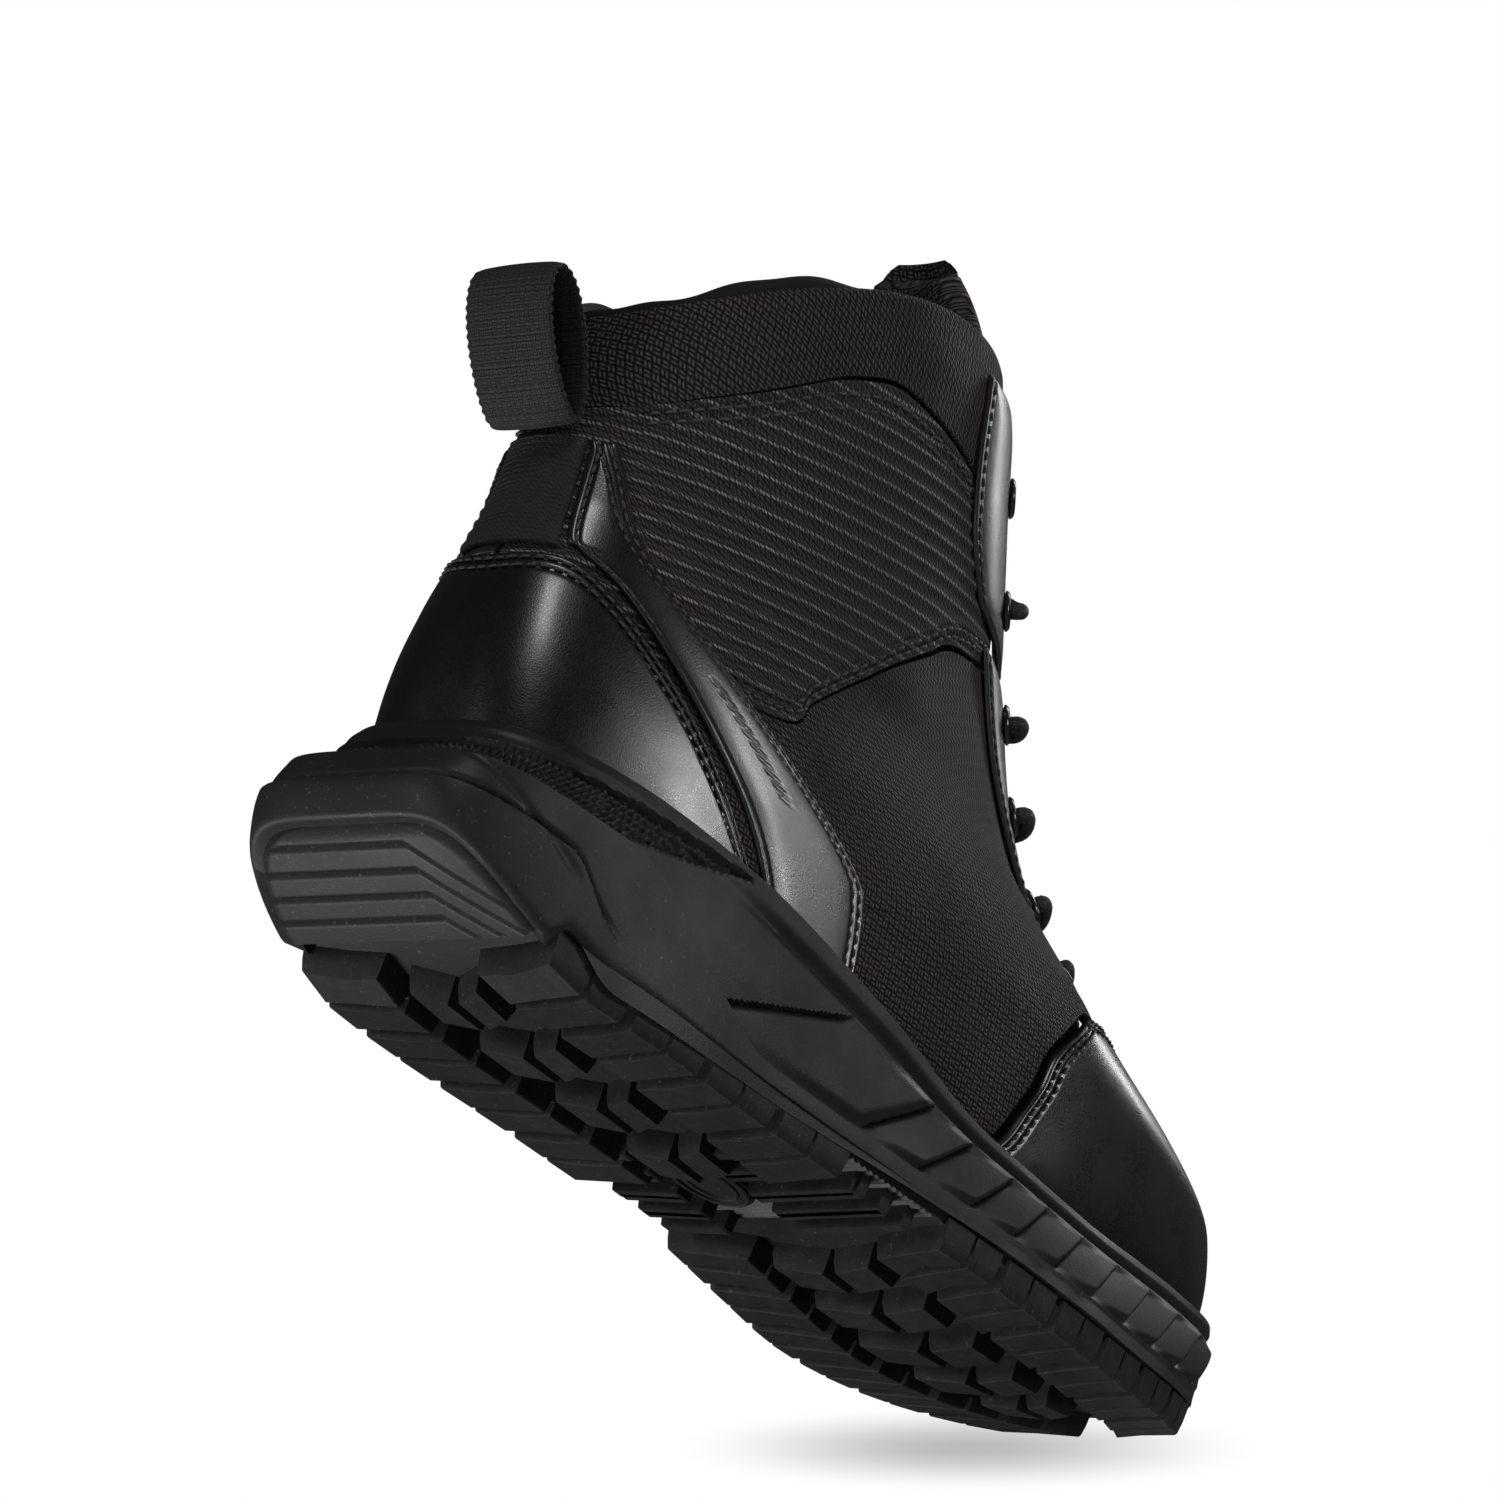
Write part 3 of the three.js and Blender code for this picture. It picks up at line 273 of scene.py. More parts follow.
def addPiece(name, shell, material, replaces=(), uv=None, sharp=None, body="root"):
    points, faces = shell
    mesh = bpy.data.meshes.new(name)
    faces = faces.tolist() if isinstance(faces, np.ndarray) else faces
    mesh.from_pydata(toFrame(points).tolist(), [], faces)
    mesh.update()
    mesh.shade_smooth()
    if sharp:
        mesh.set_sharp_from_angle(angle=np.radians(sharp))
    if uv is not None:
        index = np.empty(len(mesh.loops), int)
        mesh.loops.foreach_get("vertex_index", index)
        layer = mesh.uv_layers.new(name="cloth")
        layer.data.foreach_set("uv", (uv[index] * mm).astype(np.float32).ravel())
    mesh.materials.append(material)
    piece = bpy.data.objects.new(name, mesh)
    bpy.context.scene.collection.objects.link(piece)
    if replaces:
        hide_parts(*replaces)
    if body:
        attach(piece, body)
    return piece


# ---- node helpers
def socketOf(tree, value, target):
    if isinstance(value, bpy.types.NodeSocket):
        tree.links.new(value, target)
    else:
        target.default_value = value


def node(tree, kind, inputs=None, **settings):
    made = tree.nodes.new(kind)
    for key, value in settings.items():
        setattr(made, key, value)
    for key, value in (inputs or {}).items():
        socketOf(tree, value, made.inputs[key])
    return made


def maths(tree, operation, *values):
    made = node(tree, "ShaderNodeMath", operation=operation)
    for k, value in enumerate(values):
        socketOf(tree, value, made.inputs[k])
    return made.outputs[0]


def ranged(tree, value, low, high, toLow=0.0, toHigh=1.0):
    made = node(tree, "ShaderNodeMapRange", {"Value": value, "From Min": low, "From Max": high,
                                             "To Min": toLow, "To Max": toHigh})
    return made.outputs["Result"]


def mixed(tree, share, dark, light):
    made = node(tree, "ShaderNodeMix", data_type="RGBA")
    socketOf(tree, share, made.inputs["Factor"])
    socketOf(tree, dark, made.inputs[6])
    socketOf(tree, light, made.inputs[7])
    return made.outputs[2]


def noise(tree, vector, scale, detail=2.0, rough=0.5):
    made = node(tree, "ShaderNodeTexNoise", {"Vector": vector, "Scale": scale, "Detail": detail,
                                             "Roughness": rough})
    return made.outputs["Fac"]


def grey(level, tint=(1.0, 1.0, 1.0)):
    return (level * tint[0], level * tint[1], level * tint[2], 1.0)


def newGroup(name, inputs, outputs):
    group = bpy.data.node_groups.new(name, "ShaderNodeTree")
    for label, kind in inputs:
        group.interface.new_socket(name=label, in_out="INPUT", socket_type=kind)
    for label in outputs:
        group.interface.new_socket(name=label, in_out="OUTPUT", socket_type="NodeSocketFloat")
    return group, group.nodes.new("NodeGroupInput").outputs, group.nodes.new("NodeGroupOutput").inputs


vectorSocket, floatSocket = "NodeSocketVector", "NodeSocketFloat"


def leatherGrainGroup():
    # pebbled skin: cell walls of two sizes, broken by soft creases
    tree, given, out = newGroup("leatherGrain", [("Vector", vectorSocket), ("Cells", floatSocket)],
                                ["Height", "Tone", "Crease"])
    cells = node(tree, "ShaderNodeTexVoronoi", {"Vector": given["Vector"], "Scale": given["Cells"]},
                 feature="DISTANCE_TO_EDGE").outputs["Distance"]
    walls = ranged(tree, cells, 0.0, 0.22)
    crease = noise(tree, given["Vector"], 70.0, 5.0, 0.62)
    fine = noise(tree, given["Vector"], 1500.0, 2.0)
    height = maths(tree, "ADD", maths(tree, "MULTIPLY", walls, 0.55),
                   maths(tree, "MULTIPLY", fine, 0.45))
    tree.links.new(height, out["Height"])
    tree.links.new(noise(tree, given["Vector"], 16.0, 3.0), out["Tone"])
    tree.links.new(crease, out["Crease"])
    return tree


def weaveGroup():
    # pairs of threads pass over and under in a chequer: |sin| across, an arch along
    tree, given, out = newGroup("basketWeave", [("Vector", vectorSocket), ("Pitch", floatSocket)],
                                ["Height", "Tone", "Fuzz"])
    parts = node(tree, "ShaderNodeSeparateXYZ", {"Vector": given["Vector"]}).outputs
    x = maths(tree, "DIVIDE", parts["X"], given["Pitch"])
    y = maths(tree, "DIVIDE", parts["Y"], given["Pitch"])
    cell = maths(tree, "ADD", maths(tree, "FLOOR", x), maths(tree, "FLOOR", y))
    odd = maths(tree, "ABSOLUTE", maths(tree, "MODULO", cell, 2.0))

    def thread(across, ahead):
        wave = maths(tree, "SINE", maths(tree, "MULTIPLY", across, 2 * np.pi))
        strand = maths(tree, "POWER", maths(tree, "ABSOLUTE", wave), 0.6)
        arch = maths(tree, "ABSOLUTE", maths(tree, "SINE", maths(tree, "MULTIPLY", ahead, np.pi)))
        return maths(tree, "MULTIPLY", strand, maths(tree, "POWER", arch, 0.5))

    warp, weft = thread(x, y), thread(y, x)
    height = maths(tree, "ADD", maths(tree, "MULTIPLY", warp, odd),
                   maths(tree, "MULTIPLY", weft, maths(tree, "SUBTRACT", 1.0, odd)))
    tree.links.new(height, out["Height"])
    tree.links.new(noise(tree, given["Vector"], 22.0, 3.0), out["Tone"])
    tree.links.new(noise(tree, given["Vector"], 2600.0, 2.0), out["Fuzz"])
    return tree


def rubberGroup():
    # moulded rubber: fine stipple, soft blotches, chalky dust and a few scuffs
    tree, given, out = newGroup("rubberSkin", [("Vector", vectorSocket)],
                                ["Height", "Tone", "Dust", "Scuff"])
    stipple = noise(tree, given["Vector"], 1900.0, 3.0, 0.6)
    tree.links.new(stipple, out["Height"])
    tree.links.new(noise(tree, given["Vector"], 30.0, 4.0, 0.6), out["Tone"])
    specks = noise(tree, given["Vector"], 900.0, 2.0, 0.5)
    tree.links.new(ranged(tree, specks, 0.66, 0.76), out["Dust"])
    long = node(tree, "ShaderNodeMapping", {"Vector": given["Vector"], "Scale": (1.0, 6.0, 14.0)})
    tree.links.new(ranged(tree, noise(tree, long.outputs[0], 55.0, 4.0, 0.7), 0.62, 0.8), out["Scuff"])
    return tree


def edgeWearAndSheenGroup():
    # painted highlight and wear: edges that stand out are made lighter where they would catch light,
    # found by the mesh's own sharpness, broken by noise
    tree, given, out = newGroup("edgeWearAndSheen", [("Vector", vectorSocket), ("Amount", floatSocket)],
                                ["Mask"])
    point = node(tree, "ShaderNodeNewGeometry").outputs["Pointiness"]
    edge = ranged(tree, point, 0.515, 0.60)
    broken = ranged(tree, noise(tree, given["Vector"], 260.0, 3.0, 0.65), 0.35, 0.7)
    mask = maths(tree, "MULTIPLY", maths(tree, "MULTIPLY", edge, broken), given["Amount"])
    tree.links.new(mask, out["Mask"])
    return tree


groups = {"grain": leatherGrainGroup(), "weave": weaveGroup(), "rubber": rubberGroup(),
          "wearAndSheen": edgeWearAndSheenGroup()}


def placed(tree, key, **inputs):
    made = tree.nodes.new("ShaderNodeGroup")
    made.node_tree = groups[key]
    for label, value in inputs.items():
        socketOf(tree, value, made.inputs[label])
    return made.outputs


def newFinish(name, **fixed):
    # a material with its Principled shader; fixed values go straight on its sockets
    material = bpy.data.materials.new(name)
    material.use_nodes = True
    tree = material.node_tree
    shader = tree.nodes["Principled BSDF"]
    for label, value in fixed.items():
        shader.inputs[label.replace("_", " ")].default_value = value
    coords = node(tree, "ShaderNodeTexCoord").outputs
    return material, tree, shader.inputs, coords


def bumped(tree, height, distance, strength=1.0):
    made = node(tree, "ShaderNodeBump", {"Height": height, "Distance": distance,
                                         "Strength": strength})
    return made.outputs["Normal"]


def leatherFinish(name, dark, light, rough, cells, bump):
    material, tree, into, coords = newFinish(name, Specular_IOR_Level=0.6, Coat_Weight=0.35,
                                             Coat_Roughness=0.22)
    skin = placed(tree, "grain", Vector=coords["Object"], Cells=cells)
    wearAndSheen = placed(tree, "wearAndSheen", Vector=coords["Object"], Amount=0.5)["Mask"]
    base = mixed(tree, skin["Tone"], grey(dark, (0.95, 0.97, 1.12)), grey(light, (0.95, 0.98, 1.1)))
    # edges that stand out painted lighter: a painted highlight and wear
    tree.links.new(mixed(tree, wearAndSheen, base, grey(0.07)), into["Base Color"])
    uneven = maths(tree, "ADD", ranged(tree, skin["Height"], 0.0, 1.0, rough + 0.14, rough - 0.03),
                   ranged(tree, skin["Crease"], 0.3, 0.75, -0.05, 0.08))
    tree.links.new(uneven, into["Roughness"])
    height = maths(tree, "ADD", skin["Height"], maths(tree, "MULTIPLY", skin["Crease"], 1.6))
    tree.links.new(bumped(tree, height, bump * mm, 0.55), into["Normal"])
    return material


def nylonFinish(name, pitch, dark, light, bump, tint=(1.06, 0.98, 0.98)):
    material, tree, into, coords = newFinish(name, Specular_IOR_Level=0.3, Sheen_Weight=0.03,
                                             Sheen_Roughness=0.4)
    cloth = placed(tree, "weave", Vector=coords["UV"], Pitch=pitch * mm)
    # thread crowns lighter and the gaps between threads near black: painted shade in the gaps, varied
    # by a random tone
    uneven = ranged(tree, cloth["Tone"], 0.3, 0.7, 0.75, 1.1)
    share = maths(tree, "MULTIPLY", maths(tree, "POWER", cloth["Height"], 2.6), uneven)
    tree.links.new(mixed(tree, share, grey(dark, tint), grey(light, tint)), into["Base Color"])
    tree.links.new(ranged(tree, cloth["Height"], 0.0, 1.0, 0.95, 0.55), into["Roughness"])
    height = maths(tree, "ADD", cloth["Height"], maths(tree, "MULTIPLY", cloth["Fuzz"], 0.25))
    tree.links.new(bumped(tree, height, bump * mm, 0.9), into["Normal"])
    return material


ribs = {"pitch": 3.8, "climb": 8.0, "height": 0.55}


def ribShare(points):
    # where a point lies across the ribs, in ribs; the ribs climb towards the toe
    turn = np.radians(ribs["climb"])
    return (points[..., 2] * np.cos(turn) - points[..., 0] * np.sin(turn)) / ribs["pitch"]


def ribbedFinish():
    material, tree, into, coords = newFinish("ribbedNylon", Specular_IOR_Level=0.3, Sheen_Weight=0.03,
                                             Sheen_Roughness=0.4)
    onLast = node(tree, "ShaderNodeMapping", {
        "Vector": coords["Object"], "Location": (-lastOrigin[0], 0.0, 0.0)},
        vector_type="POINT").outputs[0]
    parts = node(tree, "ShaderNodeSeparateXYZ", {"Vector": onLast}).outputs
    turn = np.radians(ribs["climb"])
    rise = maths(tree, "SUBTRACT", maths(tree, "MULTIPLY", parts["Z"], np.cos(turn)),
                 maths(tree, "MULTIPLY", parts["X"], np.sin(turn)))
    phase = maths(tree, "MULTIPLY", rise, 2 * np.pi / (ribs["pitch"] * mm))
    crest = ranged(tree, maths(tree, "COSINE", phase), 0.7, 1.0)
    cloth = placed(tree, "weave", Vector=coords["UV"], Pitch=1.7 * mm)
    # lighter dashes where the ribs crest, broken by the weave: a painted highlight
    dashes = maths(tree, "MULTIPLY", crest, ranged(tree, cloth["Height"], 0.35, 0.95))
    # the threads lighter and the gaps between them near black: painted shade
    threads = maths(tree, "POWER", cloth["Height"], 2.0)
    base = mixed(tree, threads, grey(0.003), grey(0.07, (1.15, 0.95, 0.93)))
    patchyHighlight = ranged(tree, cloth["Tone"], 0.35, 0.7, 0.45, 1.0)
    # the crest dashes painted pale over the nylon, stronger or weaker in random patches: a painted
    # highlight
    tree.links.new(mixed(tree, maths(tree, "MULTIPLY", dashes, patchyHighlight), base, grey(0.4)),
                   into["Base Color"])
    tree.links.new(ranged(tree, dashes, 0.0, 1.0, 0.8, 0.45), into["Roughness"])
    height = maths(tree, "ADD", cloth["Height"], maths(tree, "MULTIPLY", cloth["Fuzz"], 0.3))
    tree.links.new(bumped(tree, height, 0.22 * mm, 0.9), into["Normal"])
    return material


def rubberFinish(name, dark, light, rough, dust, wearAndSheenAmount, bump):
    material, tree, into, coords = newFinish(name, Specular_IOR_Level=0.32)
    skin = placed(tree, "rubber", Vector=coords["Object"])
    wearAndSheen = placed(tree, "wearAndSheen", Vector=coords["Object"], Amount=wearAndSheenAmount)["Mask"]
    base = mixed(tree, skin["Tone"], grey(dark, (0.97, 0.98, 1.06)), grey(light, (0.97, 0.98, 1.06)))
    scuffed = mixed(tree, maths(tree, "MULTIPLY", skin["Scuff"], 0.35), base, grey(light * 2.2))
    dusted = maths(tree, "MULTIPLY", skin["Dust"], dust)
    dusty = mixed(tree, dusted, scuffed, grey(0.16, (1.0, 0.97, 0.93)))
    # edges that stand out painted lighter: a painted highlight and wear
    tree.links.new(mixed(tree, wearAndSheen, dusty, grey(0.12)), into["Base Color"])
    tree.links.new(ranged(tree, skin["Tone"], 0.3, 0.7, rough - 0.06, rough + 0.1), into["Roughness"])
    tree.links.new(bumped(tree, skin["Height"], bump * mm, 0.6), into["Normal"])
    return material


def ropeFinish(name, pitch, dark, light, rough=0.7):
    # webbing and braid: threads pass over and under in a chequer across the UV
    material, tree, into, coords = newFinish(name, Specular_IOR_Level=0.35, Sheen_Weight=0.03)
    cloth = placed(tree, "weave", Vector=coords["UV"], Pitch=pitch * mm)
    # strand tops lighter and the gaps between them dark: painted shade
    tree.links.new(mixed(tree, cloth["Height"], grey(dark), grey(light)), into["Base Color"])
    tree.links.new(ranged(tree, cloth["Tone"], 0.3, 0.7, rough - 0.12, rough + 0.1), into["Roughness"])
    height = maths(tree, "ADD", cloth["Height"], maths(tree, "MULTIPLY", cloth["Fuzz"], 0.4))
    tree.links.new(bumped(tree, height, 0.2 * mm, 0.8), into["Normal"])
    return material


def plainFinish(name, dark, light, rough, scale, bump, tint=(1.0, 1.0, 1.0), metal=0.0,
                brushed=(1, 1, 1)):
    # board, foam, steel and enamel: one noise for tone, a finer one for the surface
    material, tree, into, coords = newFinish(name, Metallic=metal)
    long = node(tree, "ShaderNodeMapping", {"Vector": coords["Object"], "Scale": brushed}).outputs[0]
    tone = noise(tree, long, scale, 4.0, 0.6)
    fine = noise(tree, long, scale * 9, 3.0, 0.6)
    tree.links.new(mixed(tree, tone, grey(dark, tint), grey(light, tint)), into["Base Color"])
    tree.links.new(ranged(tree, fine, 0.3, 0.7, rough - 0.06, rough + 0.08), into["Roughness"])
    tree.links.new(bumped(tree, fine, bump * mm, 0.6), into["Normal"])
    return material


def threadFinish():
    # waxed thread: a noisy tone with fine lighter fuzz
    material, tree, into, coords = newFinish("threadWaxed", Specular_IOR_Level=0.5)
    fuzz = noise(tree, coords["Object"], 2400.0, 2.0)
    tone = noise(tree, coords["Object"], 90.0, 3.0)
    base = mixed(tree, tone, grey(0.02), grey(0.06))
    tree.links.new(mixed(tree, ranged(tree, fuzz, 0.5, 0.8), base, grey(0.11)), into["Base Color"])
    tree.links.new(ranged(tree, fuzz, 0.3, 0.7, 0.38, 0.62), into["Roughness"])
    tree.links.new(bumped(tree, fuzz, 0.15 * mm, 0.8), into["Normal"])
    return material


finishes = {
    "leather": leatherFinish("leatherBlack", 0.003, 0.007, 0.28, 1500.0, 0.045),
    "toe": leatherFinish("leatherToe", 0.003, 0.006, 0.26, 1300.0, 0.05),
    "nylon": nylonFinish("nylonBasket", 1.9, 0.001, 0.10, 0.8, (1.15, 0.95, 0.93)),
    "ribbed": ribbedFinish(),
    "lining": nylonFinish("liningKnit", 1.7, 0.006, 0.024, 0.35, (1.0, 1.0, 1.0)),
    "collar": nylonFinish("collarKnit", 0.9, 0.006, 0.022, 0.2, (1.0, 1.0, 1.0)),
    "rubber": rubberFinish("rubberTread", 0.018, 0.025, 0.5, 0.5, 0.12, 0.10),
    "foam": rubberFinish("midsoleSkin", 0.012, 0.017, 0.48, 0.15, 0.12, 0.12),
    "webbing": ropeFinish("webbingBlack", 1.3, 0.002, 0.034),
    "lace": ropeFinish("laceBraid", 1.3, 0.008, 0.05, 0.6),
    "thread": threadFinish(),
    "enamel": plainFinish("eyeletEnamel", 0.010, 0.018, 0.18, 220.0, 0.01),
    "steel": plainFinish("steelPressed", 0.42, 0.58, 0.32, 60.0, 0.02, metal=1.0, brushed=(1, 12, 12)),
    "board": plainFinish("fibreboard", 0.12, 0.24, 0.85, 140.0, 0.10, (1.0, 0.78, 0.55)),
    "foamPad": plainFinish("foamPad", 0.05, 0.09, 0.9, 500.0, 0.15),
}
print("materials made")

# ---- panels of the upper
leatherEdge = {"radius": 1.5, "floor": 0.35}


def spaced(length, step, near=(0.3, 0.7, 1.2, 1.7, 2.2, 2.7, 3.2, 3.8, 4.4, 5.0, 5.6)):
    # shares along a length: the near distances at both ends, even steps between
    ends = np.array([d for d in near if d < length * 0.35])
    reach = ends[-1] if len(ends) else 0.0
    count = max(2, int(round((length - 2 * reach) / step)) + 1)
    inner = np.linspace(reach, length - reach, count)
    return np.unique(np.round(np.concatenate([[0], ends, inner, length - ends, [length]]), 6)) / length


def patchOf(bottom, top, left, right):
    return {"bottom": seam(bottom), "top": seam(top), "left": seam(left), "right": seam(right)}


def mirrored(patch):
    return {key: (np.stack([1 - fine[:, 0], fine[:, 1]], axis=-1), lengths)
            for key, (fine, lengths) in patch.items()}


def onPatch(patch, a, b):
    # Coons patch of its four seams, in (around, level); a and b broadcast together
    a, b = np.broadcast_arrays(np.asarray(a, float), np.asarray(b, float))
    p, q = a[..., None], b[..., None]
    bottom, top = onSeam(patch["bottom"], a), onSeam(patch["top"], a)
    left, right = onSeam(patch["left"], b), onSeam(patch["right"], b)
    corner = {(i, j): onSeam(patch["top" if j else "bottom"], i) for i in (0.0, 1.0) for j in (0, 1)}
    flat = bottom * (1 - q) + top * q + left * (1 - p) + right * p
    flat = flat - corner[0.0, 0] * (1 - p) * (1 - q) - corner[1.0, 0] * p * (1 - q)
    flat = flat - corner[0.0, 1] * (1 - p) * q - corner[1.0, 1] * p * q
    return flat[..., 0], flat[..., 1]


def edgeDistances(points):
    # running lengths of a grid of points from each of its four sides
    across = np.linalg.norm(np.diff(points, axis=1), axis=2)
    left = np.concatenate([np.zeros((len(points), 1)), np.cumsum(across, axis=1)], axis=1)
    up = np.linalg.norm(np.diff(points, axis=0), axis=2)
    bottom = np.concatenate([np.zeros((1, points.shape[1])), np.cumsum(up, axis=0)], axis=0)
    return {"left": left, "right": left[:, -1:] - left, "bottom": bottom, "top": bottom[-1:] - bottom}


# flat lengths of the cloth: round each level from the outer side, and up from the insole
chartAround = np.linspace(-0.5, 1.5, 601)
chartLevels = np.linspace(0, 10, 121)
chartPoints = lastPoint(chartAround[None, :], chartLevels[:, None])
chartU = edgeDistances(chartPoints)["left"]
chartU = chartU - chartU[:, [int(np.searchsorted(chartAround, 0.25))]]
chartV = edgeDistances(chartPoints)["bottom"]


def clothUV(s, v):
    # bilinear look-up of the flat lengths
    fs = np.clip((s + 0.5) * 300, 0, 599.999)
    fv = np.clip(v * 12, 0, 119.999)
    i, j = fs.astype(int), fv.astype(int)
    p, q = fs - i, fv - j
    flat = [c[j, i] * (1 - p) * (1 - q) + c[j, i + 1] * p * (1 - q) + c[j + 1, i] * (1 - p) * q
            + c[j + 1, i + 1] * p * q for c in (chartU, chartV)]
    return np.stack(flat, axis=-1)


def channel(distance, at, depth=0.45, width=0.45):
    # a soft groove at a distance from an edge
    return -depth * np.exp(-((distance - at) / width) ** 2)


def panelPiece(name, patch, layer, finish, replaces, step=2.0, rounded=("left", "right", "top"),
               rows=None, puff=0.0, relief=None, sharp=None, stepUp=None, lift=0.0, puffReach=14.0):
    # slab on the last: its outer side is rounded down at the named edges, sunk along the stitch
    # rows and puffed up away from them
    inner, outer = layer
    middle = [onPatch(patch, np.linspace(0, 1, 60), 0.5), onPatch(patch, 0.5, np.linspace(0, 1, 60))]
    wide, high = [walked(lastPoint(s, v))[-1] for s, v in middle]
    a = spaced(wide, step)
    b = spaced(high, stepUp or step)
    s, v = onPatch(patch, a[None, :], b[:, None])
    ground = lastPoint(s, v)
    reach = edgeDistances(ground)
    nearest = np.minimum.reduce([reach[key] for key in reach])
    near = np.minimum.reduce([reach[key] for key in rounded]) if rounded else nearest * 0 + 99
    crown = np.sqrt(1 - (1 - np.clip(near / leatherEdge["radius"], 0, 1)) ** 2)
    floor = leatherEdge["floor"]
    height = inner + (outer - inner) * (floor + (1 - floor) * crown)
    height = height + lift + puff * (1 - np.exp(-(nearest / puffReach) ** 2))
    for edge, distances in (rows or {}).items():
        for distance in distances:
            height = height + channel(reach[edge], distance)
    if relief is not None:
        height = height + relief(ground, reach, nearest)
    normal = lastNormal(s, v)
    shell = slab(ground + normal * height[..., None], ground + normal * inner)
    flat = clothUV(s, v).reshape(-1, 2)
    return addPiece(name, shell, finishes[finish], replaces, np.concatenate([flat, flat]), sharp)


stitch = {"length": 2.3, "gap": 0.75, "width": 0.42, "height": 0.34}
stitchRows = []


def stitchAlong(points, normals, lift=0.0, size=1.0):
    # small rounded rods laid end to end on a line, each a ring profile along its own chord
    lengths = walked(points)
    pitch = (stitch["length"] + stitch["gap"]) * size
    count = int(lengths[-1] / pitch)
    if count < 1:
        return
    starts = (np.arange(count) + 0.12) * pitch
    ends = starts + stitch["length"] * size

    def at(where, field):
        return np.stack([np.interp(where, lengths, field[:, k]) for k in range(3)], axis=-1)

    share = np.array([0.0, 0.12, 0.5, 0.88, 1.0])
    swell = np.array([0.25, 0.85, 1.0, 0.85, 0.25])
    rise = np.array([-0.25, 0.05, 0.22, 0.05, -0.25])
    p, q, n = at(starts, points), at(ends, points), unit(at((starts + ends) / 2, normals))
    ahead = unit(q - p)
    side = unit(np.cross(ahead, n))
    turn = np.linspace(0, 2 * np.pi, 6, endpoint=False)
    centre = p[:, None] + (q - p)[:, None] * share[None, :, None] + n[:, None] * (
        lift + rise * size)[None, :, None]
    ring = (side[:, None, None] * (stitch["width"] * size * np.cos(turn))[None, None, :, None]
            + n[:, None, None] * (stitch["height"] * size * np.sin(turn))[None, None, :, None])
    rod = centre[:, :, None] + ring * swell[None, :, None, None]
    one = gridFaces(5, 6, closedCols=True)
    faces = one[None] + (np.arange(count) * 30)[:, None, None]
    caps = np.array([[5, 4, 3, 2, 1, 0], [24, 25, 26, 27, 28, 29]])
    capFaces = caps[None] + (np.arange(count) * 30)[:, None, None]
    stitchRows.append((rod.reshape(-1, 3), faces.reshape(-1, 4)[:, ::-1].tolist()
                       + capFaces.reshape(-1, 6)[:, ::-1].tolist()))


def stitchEdge(patch, edge, inset, d, start=0.0, end=1.0, size=1.0):
    # a stitch row a fixed distance inside one edge of a patch
    t = np.linspace(start, end, 160)
    if edge in ("left", "right"):
        wide = edgeDistances(lastPoint(*onPatch(patch, np.linspace(0, 1, 30)[None, :], t[:, None])))
        share = inset / wide["left"][:, -1]
        s, v = onPatch(patch, share if edge == "left" else 1 - share, t)
    else:
        high = edgeDistances(lastPoint(*onPatch(patch, t[None, :], np.linspace(0, 1, 30)[:, None])))
        share = inset / high["bottom"][-1]
        s, v = onPatch(patch, t, share if edge == "bottom" else 1 - share)
    normals = lastNormal(s, v)
    stitchAlong(lastPoint(s, v) + normals * d, normals, size=size)


# seam lines as (around, level), the outer side; the inner side mirrors them
toeSide = [(0.2662, 0.12), (0.2712, 0.5), (0.2792, 1.2), (0.2862, 1.6), (0.2962, 2.2), (0.3324, 3.065)]
ribSeam = [(0.1, 3.0), (0.169, 3.24), (0.188, 3.8), (0.216, 4.68), (0.247, 5.55), (0.28, 6.2),
           (0.309, 6.6), (0.372, 6.95)]
collarSeam = [(0.061, 6.95), (0.118, 7.45), (0.162, 7.83), (0.19, 8.07), (0.217, 8.19),
              (0.236, 8.22), (0.264, 8.16), (0.372, 7.9)]
heelCoverTop = [(0.162, 1.3), (0.132, 2.25), (0.111, 2.85), (0.081, 3.45), (0.049, 3.78), (0, 3.72)]
stayFront = [(0.206, 0.3), (0.206, 1.15), (0.204, 1.8), (0.198, 2.1), (0.168, 2.8), (0.13, 3.57),
             (0.092, 4.5), (0.074, 5.6), (0.063, 6.2)]
stayBack = [(0.168, 0.3), (0.166, 1.35), (0.136, 2.36), (0.115, 2.98), (0.085, 3.62), (0.055, 4.0),
            (0.0446, 4.3), (0.0434, 6.2)]
strapHalf = 0.041


def shifted(points, ds, dv):
    return [(s + ds, v + dv) for s, v in points]


